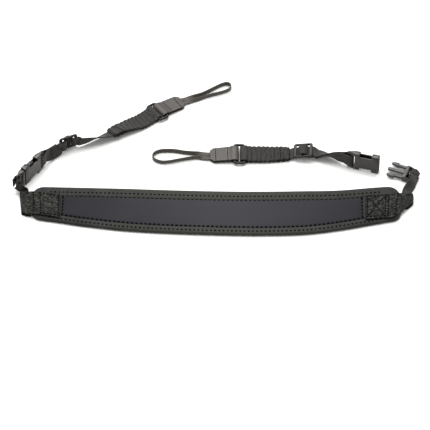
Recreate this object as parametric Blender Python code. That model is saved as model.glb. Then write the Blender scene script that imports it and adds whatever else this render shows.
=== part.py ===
"""Camera neck strap lying on a table: a curved padded band with two quick-release lug connectors.

The left connector is fastened to the pad's end, the right buckle is open and its connector lies free.
All dimensions below are millimetres; the mesh helpers turn them into metres.
X runs along the pad, Y away from its near edge, Z up. The origin is under the middle of the whole.
"""

import math

import bmesh
import bpy
from mathutils import Matrix, Vector

MM = 0.001
UP = Vector((0, 0, 1))

# Pad
PAD_LEFT = -207.0
PAD_RIGHT = 209.5
PAD_CORNER = 13.0
PAD_BORDER = 14.0
NEAR_GAIN = 4.9
PAD_TOP = 5.0
TAPE = 1.0
PANEL_LEFT = -173.0
PANEL_RIGHT = 167.0
PANEL_CROWN = 6.6
EDGE_POINTS = 18
CORNER_POINTS = 4
#            x,     far,    near
PAD_EDGES = [
    (-215.0, -49.5, -97.5),
    (-190.0, -49.8, -102.3),
    (-150.0, -51.0, -110.4),
    (-100.0, -52.7, -118.0),
    (-50.0, -55.0, -122.0),
    (0.0, -56.7, -124.3),
    (50.0, -57.3, -125.3),
    (100.0, -56.5, -123.6),
    (140.0, -55.4, -117.0),
    (185.0, -50.4, -106.5),
    (215.0, -48.5, -99.0),
]

# Webbing and hardware
GAP = 0.3
WEB = 1.2
STRAP_WIDTH = 15.0
LAYER_OFFSET = WEB / 2 + GAP / 2
SANDWICH_OFFSET = WEB + GAP
WIDE_WEB = 21.0
TAPE_WIDTH = 5.5
TAPE_THICK = 1.1
RING_LENGTH = 15.0
RING_WIDTH = 30.4
RING_BAR = 3.4
RING_SIDE = 3.2
SLIDER_LENGTH = 22.0
SLIDER_WIDTH = 21.0
SLIDER_LOW = 1.85
SLIDER_HIGH = 4.65
SLIDER_BAR_HEIGHT = 3.05
SLIDER_BAR = 1.0
SLIDER_END_BAR = 3.2
BUCKLE_SLOT = 8.4
FEMALE_LENGTH = 37.0
FEMALE_BAR = 3.2
SOCKET_START = 12.0
SOCKET_SIDE = 10.5
SOCKET_HALF = 2.7
MALE_BAR_NEAR = 28.2
MALE_LENGTH = 31.7
MATED_TIP = 17.8
FEMALE_LEAD = 4.2
LUG_TAB_LENGTH = 28.0
LUG_SHOULDER_RUN = 4.2
SHOULDER = 3.6
WEB_OVERLAP = 12.0
LAYER_SPREAD = 0.3
GATHER_START_WIDTH = 16.4
RIB_PITCH = 4.4
RIB_HEIGHT = 0.5
TAPE_SPREAD = 3.15
TAPE_HELD = (12.0, 4.0, -1.5)
PITCH_RUN = 0.45

# Each side's own layout. A route runs from the female buckle's rear bar to the lug tab's end.
SIDES = {
    "left": {
        #   far x,   far y,  near x, near y, bottom, top
        "tab": [
            (-175.3, -65.5, -173.9, -101.8, 3.0, 7.9),
            (-190.0, -63.0, -188.0, -98.8, 3.0, 7.9),
            (-203.0, -60.6, -200.5, -96.6, 3.0, 7.8),
            (-209.0, -59.6, -206.5, -95.0, 0.0, 6.9),
            (-213.0, -58.9, -210.5, -94.1, 0.0, 5.0),
            (-217.0, -58.2, -214.0, -93.0, 0.0, 5.3),
            (-220.4, -57.6, -216.6, -91.8, 0.0, 4.9),
            (-221.4, -57.5, -217.6, -91.2, 1.2, 3.6),
        ],
        "sleeve": [(-208.6, -74.0), (-218.4, -74.0), (-220.0, -58.0), (-220.2, -45.0), (-208.6, -45.0)],
        "strap_level": -1,
        "strap_at_bar": (11.5, 1.4),
        "strap_tail": (11.6, -2.2),
        #     x,      y,      z,   lateral,         width
        "strap": [
            (-223.6, -54.6, 12.8, -0.1, -0.1, 0.98, 11.4),
            (-223.0, -55.4, 10.9, -0.7, 0.05, 0.6, 11.0),
            (-221.8, -55.7, 9.0, -0.95, 0.05, -0.2, 10.8),
            (-220.2, -55.6, 7.2, -0.84, 0.0, -0.54, 10.6),
            (-218.4, -55.4, 5.7, -0.78, 0.0, -0.62, 10.0),
            (-216.9, -55.2, 4.5, -0.85, -0.05, -0.5, 9.4),
            (-216.0, -55.6, 3.5, -0.96, -0.1, -0.26, 9.0),
            (-215.6, -56.9, 2.7, -1.0, 0.0, 0.0, 8.8),
            (-215.2, -59.4, 2.5, -1.0, 0.0, 0.0, 8.8),
            (-214.6, -65.0, 2.5, -1.0, 0.0, 0.0, 8.8),
            (-213.7, -71.5, 2.5, -1.0, 0.0, 0.0, 8.8),
        ],
        "female": (-196.8, -10.4, 12.2, -124.5, 90.0),
        "male": None,
        #     x,      y,     z,   roll
        "route": [
            (-188.8, -1.0, 9.0, -107.0),
            (-182.5, 5.0, 8.7, -109.0),
            (-176.8, 9.8, 9.2, -98.0),
            (-167.6, 14.2, 10.4, -79.0),
            (-158.0, 18.2, 9.4, -75.0),
            (-148.0, 22.2, 8.2, -66.0),
            (-138.0, 26.8, 7.2, -48.0),
            (-121.7, 36.0, 5.3, -19.0),
            (-110.3, 45.4, 4.9, -15.0),
            (-98.9, 52.4, 4.3, -9.0),
            (-88.2, 58.8, 3.1, -1.0),
            (-78.4, 66.8, 3.0, 1.0),
            (-67.7, 75.9, 3.6, 0.0),
            (-50.5, 87.8, 3.1, 0.0),
            (-36.0, 96.4, 2.3, 0.0),
        ],
        "slider_at": 44.8,
        "slider_pitch": 0.0,
        "web_end_at": 109.2,
        "ring_at": 164.5,
        "loop_starts": -1,
        #     x,     y,    z,   roll
        "loop": [
            (-29.0, 95.6, 2.8, 30.0),
            (-20.0, 98.4, 3.1, 72.0),
            (-11.8, 102.6, 3.1, 88.0),
            (-3.5, 106.2, 3.1, 92.0),
            (5.9, 109.7, 3.1, 96.0),
            (13.0, 113.0, 3.1, 96.0),
            (17.3, 116.2, 3.1, 94.0),
            (18.9, 119.9, 3.1, 90.0),
            (17.7, 124.0, 3.1, 90.0),
            (14.0, 125.9, 3.1, 90.0),
            (9.5, 124.6, 3.1, 90.0),
            (4.7, 121.7, 3.1, 94.0),
            (-2.4, 116.4, 3.1, 98.0),
            (-9.4, 111.2, 3.1, 100.0),
            (-16.5, 106.6, 3.1, 104.0),
            (-25.0, 103.0, 2.9, 130.0),
            (-33.5, 99.6, 2.6, 172.0),
        ],
    },
    "right": {
        "tab": [
            (170.8, -67.0, 168.5, -104.5, 3.0, 7.9),
            (190.0, -64.8, 188.0, -102.7, 3.0, 7.9),
            (203.0, -63.3, 198.6, -101.7, 3.0, 7.8),
            (210.0, -62.4, 204.5, -97.2, 0.0, 7.2),
            (214.5, -61.9, 210.0, -91.2, 0.0, 5.1),
            (219.0, -61.4, 217.5, -82.2, 0.0, 5.4),
            (223.4, -60.9, 222.6, -76.6, 0.0, 4.9),
            (224.6, -60.7, 223.8, -75.2, 1.2, 3.6),
        ],
        "sleeve": [(210.9, -78.0), (210.9, -45.0), (223.7, -45.0), (223.4, -61.0), (222.6, -73.5)],
        "strap_level": 1,
        "strap_at_bar": (15.0, 0.0),
        "strap_tail": (4.4, -1.9),
        "strap": [
            (227.8, -32.7, 6.4, 0.45, 0.87, -0.22, 13.8),
            (227.4, -35.3, 6.7, 0.64, 0.5, -0.58, 12.6),
            (226.9, -38.7, 6.9, 0.6, 0.0, -0.79, 12.4),
            (225.7, -42.2, 7.0, 0.55, -0.24, -0.8, 12.4),
            (224.2, -45.8, 6.6, 0.56, -0.28, -0.78, 12.4),
            (222.2, -49.2, 5.5, 0.68, -0.3, -0.66, 12.0),
            (219.9, -52.4, 4.1, 0.85, -0.26, -0.45, 11.5),
            (218.1, -55.6, 2.9, 0.98, -0.12, -0.12, 11.0),
            (217.2, -59.0, 2.5, 1.0, 0.0, 0.0, 10.8),
            (216.9, -64.0, 2.5, 1.0, 0.0, 0.0, 10.6),
            (216.7, -70.5, 2.5, 1.0, 0.0, 0.0, 10.4),
        ],
        "female": (151.8, -11.3, 12.2, -16.3, -90.0),
        "male": (198.2, -19.4, 3.9, -22.0, 0.0),
        "route": [
            (144.6, -8.6, 11.4, 85.0),
            (140.4, -6.6, 10.2, 75.0),
            (135.6, -4.0, 8.8, 61.0),
            (130.0, -1.6, 7.3, 43.0),
            (122.0, 2.2, 5.2, 17.0),
            (112.0, 4.4, 4.2, 3.0),
            (98.6, 5.6, 3.8, -6.0),
            (87.4, 4.8, 3.8, -6.0),
            (78.0, 4.2, 3.8, -6.0),
            (60.0, 3.6, 3.8, -6.0),
            (36.0, 3.4, 4.4, -6.0),
            (22.8, 3.3, 4.8, -5.0),
            (10.0, 3.0, 4.0, -2.0),
            (-10.0, 2.2, 2.3, 0.0),
        ],
        "slider_at": 60.0,
        "slider_pitch": 8.0,
        "web_end_at": 87.4,
        "ring_at": 133.8,
        "loop_starts": 1,
        "loop": [
            (-15.6, -0.5, 2.8, 144.0),
            (-20.0, -0.4, 3.1, 104.0),
            (-26.4, -1.2, 3.1, 88.0),
            (-35.6, -3.0, 3.1, 82.0),
            (-43.6, -5.1, 3.1, 80.0),
            (-51.7, -7.3, 3.1, 82.0),
            (-59.7, -8.3, 3.1, 86.0),
            (-65.4, -6.8, 3.1, 90.0),
            (-70.1, -3.5, 3.1, 90.0),
            (-71.7, 2.0, 3.1, 90.0),
            (-69.1, 7.0, 3.1, 90.0),
            (-63.4, 10.0, 3.1, 86.0),
            (-54.2, 10.8, 3.1, 80.0),
            (-45.0, 10.0, 3.1, 78.0),
            (-35.7, 7.8, 3.1, 76.0),
            (-26.5, 6.6, 3.1, 70.0),
            (-18.5, 5.9, 2.9, 40.0),
            (-14.6, 5.6, 2.7, 16.0),
        ],
    },
}


def clear_scene():
    for item in list(bpy.data.objects):
        bpy.data.objects.remove(item, do_unlink=True)


def make_material(name, color, roughness):
    material = bpy.data.materials.new(name)
    material.use_nodes = True
    shader = material.node_tree.nodes["Principled BSDF"]
    shader.inputs["Base Color"].default_value = (*color, 1.0)
    shader.inputs["Roughness"].default_value = roughness
    material.diffuse_color = (*color, 1.0)
    return material


def make_mesh(name, vertices, faces):
    """Closed mesh in metres from millimetre points, with its faces turned outwards."""
    mesh = bpy.data.meshes.new(name)
    mesh.from_pydata([Vector(point) * MM for point in vertices], [], faces)
    work = bmesh.new()
    work.from_mesh(mesh)
    bmesh.ops.recalc_face_normals(work, faces=work.faces)
    work.to_mesh(mesh)
    work.free()
    return mesh


def make_object(name, mesh, material, place=None):
    mesh.shade_smooth()
    mesh.set_sharp_from_angle(angle=math.radians(40))
    item = bpy.data.objects.new(name, mesh)
    bpy.context.scene.collection.objects.link(item)
    if material:
        item.data.materials.clear()
        item.data.materials.append(material)
    if place:
        item.matrix_world = place
    return item


def loft_mesh(name, loops, ring=False):
    """Skin through loops of equally many points: capped at both ends, or joined into a ring."""
    count = len(loops[0])
    vertices = [point for loop in loops for point in loop]
    faces = []
    last = len(loops) if ring else len(loops) - 1
    for row in range(last):
        here = row * count
        there = ((row + 1) % len(loops)) * count
        for step in range(count):
            after = (step + 1) % count
            faces.append((here + step, here + after, there + after, there + step))
    if not ring:
        faces.append(tuple(range(count)))
        faces.append(tuple(range(len(vertices) - count, len(vertices))))
    return make_mesh(name, vertices, faces)


def prism_mesh(name, outline, low, high):
    return loft_mesh(name, [[(x, y, low) for x, y in outline], [(x, y, high) for x, y in outline]])


def box_mesh(name, low, high):
    outline = [(low[0], low[1]), (high[0], low[1]), (high[0], high[1]), (low[0], high[1])]
    return prism_mesh(name, outline, low[2], high[2])


def combine(base, tool, operation):
    """Boolean of the base with a hidden tool object."""
    tool.hide_render = True
    tool.display_type = "WIRE"
    step = base.modifiers.new(operation.title(), "BOOLEAN")
    step.operation = operation
    step.solver = "EXACT"
    step.object = tool


def fused_mesh(name, base, tools):
    """One plain mesh from a base mesh and a list of (operation, mesh) tools."""
    body = make_object(name, base, None)
    helpers = []
    for operation, mesh in tools:
        helper = make_object(mesh.name, mesh, None)
        combine(body, helper, operation)
        helpers.append(helper)
    graph = bpy.context.evaluated_depsgraph_get()
    result = bpy.data.meshes.new_from_object(body.evaluated_get(graph))
    for item in [body] + helpers:
        bpy.data.objects.remove(item, do_unlink=True)
    return result


def spline(rows, position):
    """Row at a fractional position on a smooth curve through the rows."""
    index = min(int(position), len(rows) - 2)
    t = position - index
    p1 = rows[index]
    p2 = rows[index + 1]
    p0 = rows[index - 1] if index > 0 else [2 * a - b for a, b in zip(p1, p2)]
    p3 = rows[index + 2] if index + 2 < len(rows) else [2 * b - a for a, b in zip(p1, p2)]
    return [
        0.5 * (2 * b + (c - a) * t + (2 * a - 5 * b + 4 * c - d) * t ** 2 + (3 * b - a - 3 * c + d) * t ** 3)
        for a, b, c, d in zip(p0, p1, p2, p3)
    ]


def smooth_rows(rows, per_span):
    steps = (len(rows) - 1) * per_span
    return [spline(rows, step / per_span) for step in range(steps + 1)]


class Route:
    """Smooth path through rows of x, y, z, roll and further columns, read by distance along it."""

    def __init__(self, rows, detail=16):
        self.rows = smooth_rows(rows, detail)
        self.distance = [0.0]
        for before, after in zip(self.rows, self.rows[1:]):
            self.distance.append(self.distance[-1] + math.dist(before[:3], after[:3]))
        self.length = self.distance[-1]

    def row(self, s):
        place = min(max(s, 0.0), self.length)
        index = 0
        while index < len(self.distance) - 2 and self.distance[index + 1] < place:
            index += 1
        span = self.distance[index + 1] - self.distance[index]
        t = (s - self.distance[index]) / span
        return [a + (b - a) * t for a, b in zip(self.rows[index], self.rows[index + 1])]

    def frame(self, s):
        """Centre, lateral and normal directions at distance s."""
        row = self.row(s)
        ahead = Vector(self.row(s + 1.0)[:3]) - Vector(self.row(s - 1.0)[:3])
        return (Vector(row[:3]), *turned_frame(ahead.normalized(), row[3]), row)


def turned_frame(ahead, roll):
    """Lateral and normal for a direction of travel; roll raises the left side, in degrees."""
    level = UP.cross(ahead).normalized()
    above = ahead.cross(level)
    angle = math.radians(roll)
    lateral = level * math.cos(angle) + above * math.sin(angle)
    return lateral, ahead.cross(lateral)


def placement(x, y, z, heading, roll):
    """Matrix of a rigid piece whose local X points along the heading."""
    ahead = Vector((math.cos(math.radians(heading)), math.sin(math.radians(heading)), 0))
    lateral, normal = turned_frame(ahead, roll)
    return frame_matrix(Vector((x, y, z)), ahead, lateral, normal)


def frame_matrix(centre, ahead, lateral, normal):
    turn = Matrix((ahead, lateral, normal)).transposed().to_4x4()
    return Matrix.Translation(centre * MM) @ turn


def route_matrix(route, s):
    centre, lateral, normal, _ = route.frame(s)
    return frame_matrix(centre, lateral.cross(normal), lateral, normal)


def ribbon(name, stations, material):
    """Webbing through stations of centre, lateral, width and thickness."""
    loops = []
    for index, (centre, lateral, width, thickness) in enumerate(stations):
        before = stations[max(index - 1, 0)][0]
        after = stations[min(index + 1, len(stations) - 1)][0]
        ahead = (after - before).normalized()
        across = (lateral - ahead * lateral.dot(ahead)).normalized()
        normal = ahead.cross(across)
        side = across * width / 2
        face = normal * thickness / 2
        loops.append([centre - side - face, centre + side - face, centre + side + face, centre - side + face])
    return make_object(name, loft_mesh(name, loops), material)


def along(route, path, width, thickness=WEB):
    """Stations for a path of (distance, height) pairs laid on a route."""
    stations = []
    for s, height in path:
        centre, lateral, normal, row = route.frame(s)
        wide = width(s) if callable(width) else width
        stations.append((centre + normal * height, lateral, wide, thickness))
    return stations


def in_frame(place, path, width):
    """Stations for a path of (distance, height) pairs in a rigid piece's own frame."""
    lateral = place.to_3x3() @ Vector((0, 1, 0))
    return [(place @ Vector((u * MM, 0, n * MM)) / MM, lateral, width, WEB) for u, n in path]


def arc(centre_s, centre_n, radius, start, end, steps):
    """Points of an arc in the plane of distance and height, angles in degrees."""
    points = []
    for step in range(steps + 1):
        angle = math.radians(start + (end - start) * step / steps)
        points.append((centre_s + radius * math.cos(angle), centre_n + radius * math.sin(angle)))
    return points


def even_steps(start, end, spacing):
    count = max(1, round(abs(end - start) / spacing))
    return [start + (end - start) * step / count for step in range(count + 1)]


# Pad

def pad_edge(x, column):
    for index in range(len(PAD_EDGES) - 1):
        left = PAD_EDGES[index][0]
        right = PAD_EDGES[index + 1][0]
        if x <= right:
            break
    return spline(PAD_EDGES, index + (x - left) / (right - left))[column]


def rounded_outline(left, right, inset, corner):
    """Closed outline between the pad's curved long edges, set in, with round corners.

    Past the border's width the near edge lies NEAR_GAIN further out, as the border is narrower there.
    """
    radius = max(corner - inset, 2.0)
    insets = {1: inset, 2: inset - (NEAR_GAIN if inset >= PAD_BORDER else 0.0)}
    inner_left = left + inset + radius
    inner_right = right - inset - radius
    outline = []
    for column, side, start, end in ((1, 1, inner_left, inner_right), (2, -1, inner_right, inner_left)):
        for step in range(EDGE_POINTS + 1):
            x = start + (end - start) * step / EDGE_POINTS
            outline.append((x, pad_edge(x, column) - side * insets[column]))
        centre = Vector((end, pad_edge(end, column) - side * (insets[column] + radius)))
        first = 90.0 if side > 0 else 270.0
        for step in range(1, CORNER_POINTS + 1):
            angle = math.radians(first - 90.0 * step / CORNER_POINTS)
            outline.append((centre.x + radius * math.cos(angle), centre.y + radius * math.sin(angle)))
        other = 3 - column
        closing = Vector((end, pad_edge(end, other) + side * (insets[other] + radius)))
        for step in range(CORNER_POINTS):
            angle = math.radians(first - 90.0 - 90.0 * step / CORNER_POINTS)
            outline.append((closing.x + radius * math.cos(angle), closing.y + radius * math.sin(angle)))
    return outline


def pad_loops(left, right, corner, profile, border=0.0):
    """One loop for each (inset, height) of a profile."""
    loops = []
    for inset, height in profile:
        outline = rounded_outline(left - border, right + border, inset + border, corner)
        loops.append([(x, y, height) for x, y in outline])
    return loops


def build_pad(foam, tape, panel):
    flange = PAD_BORDER
    core = [
        (11.3, 0.0), (11.3, TAPE + GAP), (1.9, TAPE + GAP), (1.4, 1.9), (1.4, 3.1),
        (1.9, PAD_TOP - TAPE - GAP), (flange + GAP, PAD_TOP - TAPE - GAP), (flange + GAP, PAD_TOP - GAP),
    ]
    binding = [
        (11.0, 0.0), (1.6, 0.0), (0.5, 0.5), (0.0, 1.7), (0.0, 3.4), (0.5, 4.5), (1.6, PAD_TOP),
        (flange, PAD_TOP), (flange, PAD_TOP - TAPE), (1.9, PAD_TOP - TAPE), (1.0, 3.4), (1.0, 1.7), (1.9, TAPE),
        (11.0, TAPE),
    ]
    raised = [(0.0, PAD_TOP), (0.0, 5.4), (1.2, 6.0), (4.5, 6.4), (11.0, PANEL_CROWN)]
    make_object("pad_core", loft_mesh("pad_core", pad_loops(PAD_LEFT, PAD_RIGHT, PAD_CORNER, core)), foam)
    rim = pad_loops(PAD_LEFT, PAD_RIGHT, PAD_CORNER, binding)
    make_object("pad_binding", loft_mesh("pad_binding", rim, ring=True), tape)
    field = pad_loops(PANEL_LEFT, PANEL_RIGHT, 2.0, raised, PAD_BORDER + GAP + 0.1)
    make_object("pad_panel", loft_mesh("pad_panel", field), panel)


# End tabs

def build_end_tab(side, layout, material):
    """Webbing folded into a sleeve: over the pad's end, down past it and hollow for the narrow strap."""
    name = "end_tab_" + side
    soft = 0.6
    loops = []
    for far_x, far_y, near_x, near_y, low, high in layout["tab"]:
        far = Vector((far_x, far_y, 0))
        near = Vector((near_x, near_y, 0))
        inward = (near - far).normalized() * soft
        ends = [(far + inward, low), (far, low + soft), (far, high - soft), (far + inward, high)]
        ends += [(near - inward, high), (near, high - soft), (near, low + soft), (near - inward, low)]
        loops.append([point + UP * height for point, height in ends])
    pad = rounded_outline(PAD_LEFT, PAD_RIGHT, -GAP - 0.05, PAD_CORNER)
    under = prism_mesh(name + "_pad", pad, -5.0, PAD_TOP + GAP)
    hollow = prism_mesh(name + "_sleeve", layout["sleeve"], 1.6, 3.4)
    tools = [("DIFFERENCE", under), ("DIFFERENCE", hollow)]
    mesh = fused_mesh(name, loft_mesh(name, loops), tools)
    make_object(name, mesh, material)


# Buckles, sliders and rings

def chamfered_section(u, half_width, half_height, cut):
    corners = [(1, -1, 0), (1, -1, 1), (1, 1, 1), (1, 1, 0), (-1, 1, 0), (-1, 1, 1), (-1, -1, 1), (-1, -1, 0)]
    section = []
    for side, level, on_side in corners:
        v = side * (half_width if on_side else half_width - cut)
        n = level * (half_height - cut if on_side else half_height)
        section.append((u, v, n))
    return section


def female_mesh():
    #     u,  half width, half height
    sections = [
        (0.0, 11.0, 1.1), (0.6, 11.6, 1.7), (3.4, 11.7, 1.8), (8.4, 11.7, 3.4), (10.5, 11.7, 3.7),
        (29.4, 11.6, 3.7), (30.4, 12.0, 3.7), (36.4, 12.0, 3.7), (FEMALE_LENGTH, 11.6, 3.5),
    ]
    body = loft_mesh("female", [chamfered_section(u, wide, high, 1.0) for u, wide, high in sections])
    tools = [("DIFFERENCE", box_mesh("slot", (FEMALE_BAR, -BUCKLE_SLOT, -5), (8.8, BUCKLE_SLOT, 5)))]
    low = (SOCKET_START, -SOCKET_SIDE, -SOCKET_HALF)
    tools.append(("DIFFERENCE", box_mesh("cavity", low, (FEMALE_LENGTH + 1, SOCKET_SIDE, SOCKET_HALF))))
    for side in (-1, 1):
        low = (14.5, min(side * 8.2, side * 14.0), -5)
        high = (28.6, max(side * 8.2, side * 14.0), 5)
        tools.append(("DIFFERENCE", box_mesh("notch", low, high)))
    return fused_mesh("buckle_female", body, tools)


def male_mesh():
    frame = [
        chamfered_section(u, wide, high, 0.8)
        for u, wide, high in [(19.8, 10.2, 2.9), (20.4, 10.8, 3.2), (23.5, 10.8, 3.1), (26.5, 10.7, 1.9),
                              (28.2, 10.6, 1.4), (31.0, 9.9, 1.4), (MALE_LENGTH, 9.2, 1.0)]
    ]
    body = loft_mesh("male", frame)
    prong = [(20.6, 9.8), (10.6, 9.9), (10.0, 11.6), (4.6, 11.3), (1.2, 9.6), (2.6, 8.4), (8.0, 7.6), (20.6, 6.6)]
    tools = [("DIFFERENCE", box_mesh("slot", (23.6, -BUCKLE_SLOT, -5), (MALE_BAR_NEAR, BUCKLE_SLOT, 5)))]
    for side in (-1, 1):
        outline = [(u, side * v) for u, v in prong]
        tools.append(("UNION", prism_mesh("prong", outline, -1.8, 1.8)))
    centre = [chamfered_section(u, wide, 1.5, 0.4) for u, wide in [(0.0, 1.5), (0.9, 2.0), (20.6, 2.2)]]
    tools.append(("UNION", loft_mesh("centre_prong", centre)))
    return fused_mesh("buckle_male", body, tools)


def slider_mesh():
    half = SLIDER_LENGTH / 2
    wide = SLIDER_WIDTH / 2
    corner = 2.6
    plate = []
    for end, side in ((1, 1), (-1, 1), (-1, -1), (1, -1)):
        first = {(1, 1): 0, (-1, 1): 90, (-1, -1): 180, (1, -1): 270}[(end, side)]
        for step in range(4):
            angle = math.radians(first + 30 * step)
            u = end * (half - corner) + corner * math.cos(angle)
            v = side * (wide - corner) + corner * math.sin(angle)
            plate.append((u, v))
    loops = []
    for shrink, height in ((0.8, SLIDER_LOW), (0.0, SLIDER_LOW + 0.8), (0.0, SLIDER_HIGH - 0.8), (0.8, SLIDER_HIGH)):
        scale_u = (half - shrink) / half
        scale_v = (wide - shrink) / wide
        loops.append([(u * scale_u, v * scale_v, height) for u, v in plate])
    tools = []
    for low, high in ((-5.0, SLIDER_BAR_HEIGHT - SLIDER_BAR), (SLIDER_BAR_HEIGHT + SLIDER_BAR, 10.0)):
        relief = box_mesh("relief", (-3.0, -BUCKLE_SLOT, low), (3.0, BUCKLE_SLOT, high))
        tools.append(("DIFFERENCE", relief))
    for side in (-1, 1):
        ends = sorted((side * SLIDER_BAR, side * (half - SLIDER_END_BAR)))
        low = (ends[0], -BUCKLE_SLOT, -5)
        high = (ends[1], BUCKLE_SLOT, 10)
        tools.append(("DIFFERENCE", box_mesh("slot", low, high)))
    return fused_mesh("slider", loft_mesh("slider", loops), tools)


def ring_mesh():
    half_u = (RING_LENGTH - RING_BAR) / 2
    half_v = (RING_WIDTH - RING_SIDE) / 2
    corner = 2.6
    sections = []
    for turn in range(4):
        side_u = (1, -1, -1, 1)[turn]
        side_v = (1, 1, -1, -1)[turn]
        for step in range(4):
            angle = math.radians(90 * turn + 30 * step)
            outward = Vector((math.cos(angle), math.sin(angle), 0))
            centre = Vector((side_u * (half_u - corner), side_v * (half_v - corner), 0)) + outward * corner
            section = []
            level = (RING_BAR * abs(outward.x) + RING_SIDE * abs(outward.y)) / (abs(outward.x) + abs(outward.y))
            for side in range(8):
                around = math.radians(22.5 + 45 * side)
                reach = outward * math.cos(around) * level / 2
                section.append(centre + reach + UP * math.sin(around) * RING_BAR / 2)
            sections.append(section)
    return loft_mesh("ring", sections, ring=True)


# Webbing

def hairpin_radius(bar_half):
    return bar_half + GAP + 0.05 + WEB / 2


def buckle_rows(place, positions, *columns):
    """Route rows at local positions along a placed buckle."""
    return [(*(place @ Vector((u * MM, 0, 0)) / MM), *columns) for u in positions]


def build_neck_strap(side, layout, male, material):
    """Narrow webbing: a short tail under the buckle's bar, round it and on into the sleeve."""
    middle = (MALE_BAR_NEAR + MALE_LENGTH) / 2
    bar = male @ Matrix.Translation(Vector((middle, 0, 0)) * MM)
    width, shift = layout["strap_at_bar"]
    bar = bar @ Matrix.Translation(Vector((0, shift, 0)) * MM)
    level = layout["strap_level"]
    turn = [layout["strap_tail"], (2.3, -2.6)] + arc(0.0, 0.0, hairpin_radius(2.25), 270, 90, 8) + [(2.3, 2.8)]
    stations = in_frame(bar, [(u, level * n) for u, n in turn], width)
    for row in smooth_rows(layout["strap"], 2):
        stations.append((Vector(row[:3]), Vector(row[3:6]).normalized(), row[6], WEB))
    ribbon("neck_strap_" + side, stations, material)


def build_connector_web(side, route, layout, bar, slider, material):
    """Narrow webbing, threaded over the slider's bar, looped round the buckle's and back to the slider."""
    slider_at = layout["slider_at"]
    half = SLIDER_LENGTH / 2
    settle = half + 2.5 + PITCH_RUN * layout["slider_pitch"]
    rise = [(-11.6, 0.7), (-7.4, 0.8), (-5.8, 1.3), (-4.7, 2.6), (-4.1, 4.4), (-2.7, 6.0), (-1.3, 6.75)]
    over = rise + [(0.0, 6.9)] + [(-u, n) for u, n in reversed(rise)]
    wrap = [(-11.6, -1.0), (-6.8, LAYER_OFFSET - 2 * WEB), (-4.4, -1.0), (-2.9, 0.9)]
    wrap += arc(0.0, SLIDER_BAR_HEIGHT, SLIDER_BAR + GAP + 0.3 + WEB / 2, 180, -20, 8) + [(1.3, 0.7)]
    turn = [(2.6, 2.8)] + arc(0.0, 0.0, hairpin_radius(2.4), 90, 270, 8) + [(2.6, -2.8)]
    single = [(s, 0.0) for s in even_steps(layout["web_end_at"], slider_at + half + 2.4, 2.0)]
    near_bar = [(FEMALE_LEAD + 5.6, 1.5)]
    apart = LAYER_OFFSET + LAYER_SPREAD
    doubled = [(s, apart) for s in even_steps(slider_at - settle, FEMALE_LEAD + 9.0, 2.0)]
    back = [(s, -height) for s, height in reversed(doubled + near_bar)]
    stations = along(route, single, STRAP_WIDTH)
    stations += in_frame(slider, reversed(over), STRAP_WIDTH)
    stations += along(route, doubled + near_bar, STRAP_WIDTH)
    stations += in_frame(bar, turn, STRAP_WIDTH)
    stations += along(route, back, STRAP_WIDTH)
    stations += in_frame(slider, wrap, STRAP_WIDTH)
    ribbon("connector_web_" + side, stations, material)


def build_gathered_web(side, route, layout, ring, material):
    """Wide webbing gathered into cross ribs, doubled round the ring and closed over the narrow web's end."""
    end_at = layout["web_end_at"]
    bar_at = layout["ring_at"] - (RING_LENGTH - RING_BAR) / 2
    start = end_at - WEB_OVERLAP
    layers = []
    for level in (1, -1):
        layer = []
        for s in even_steps(start, bar_at - 4.5, RIB_PITCH / 4):
            flat = min(max((s - end_at - 1.0) / 6.0, 0.0), 1.0)
            flare = min(max((s - bar_at + 9.0) / 5.0, 0.0), 1.0)
            offset = SANDWICH_OFFSET + (LAYER_OFFSET - SANDWICH_OFFSET) * flat + 0.6 * flare
            rib = RIB_HEIGHT * (0.5 - 0.5 * math.cos(2 * math.pi * (s - start) / RIB_PITCH))
            widen = min(max((s - start) / 26.0, 0.0), 1.0)
            centre, lateral, normal, _ = route.frame(s)
            height = level * (offset + rib / 2)
            wide = GATHER_START_WIDTH + (WIDE_WEB - GATHER_START_WIDTH) * widen
            layer.append((centre + normal * height, lateral, wide, WEB + rib))
        layers.append(layer)
    bar = -(RING_LENGTH - RING_BAR) / 2
    turn = [(bar - 2.2, 2.1)] + arc(bar, 0.0, hairpin_radius(RING_BAR / 2), 90, -90, 8) + [(bar - 2.2, -2.1)]
    stations = layers[0] + in_frame(ring, turn, WIDE_WEB) + list(reversed(layers[1]))
    ribbon("gathered_web_" + side, stations, material)


def build_lug_tab(side, route, layout, ring, material):
    """Smooth webbing doubled round the ring, with cut shoulders where the loop's tapes leave it."""
    bar = (RING_LENGTH - RING_BAR) / 2
    end = layout["ring_at"] + bar + LUG_TAB_LENGTH

    def width(s):
        return WIDE_WEB - 2 * SHOULDER * max(0.0, (s - end) / LUG_SHOULDER_RUN + 1.0)

    turn = [(bar + 2.4, 2.2)] + arc(bar, 0.0, hairpin_radius(RING_BAR / 2), 90, 270, 8) + [(bar + 2.4, -2.2)]
    ends = [end, end - LUG_SHOULDER_RUN] + even_steps(end - 9.0, end - LUG_TAB_LENGTH + 5.5, 3.0)
    top = [(s, SANDWICH_OFFSET) for s in ends]
    bottom = [(s, -height) for s, height in reversed(top)]
    stations = along(route, top, width) + in_frame(ring, turn, WIDE_WEB) + along(route, bottom, width)
    ribbon("lug_tab_" + side, stations, material)


def held_rows(route, layout, leaving):
    """Rows of the loop's tape between the lug tab's two layers, on the way out or back."""
    end = layout["ring_at"] + (RING_LENGTH - RING_BAR) / 2 + LUG_TAB_LENGTH
    side = layout["loop_starts"] if leaving else -layout["loop_starts"]
    rows = []
    for inset in TAPE_HELD if leaving else reversed(TAPE_HELD):
        centre, lateral, _, row = route.frame(end - inset)
        roll = row[3] if leaving else -row[3]
        rows.append((*(centre + lateral * side * TAPE_SPREAD), roll if side < 0 else 180.0 + roll))
    return rows


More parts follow.
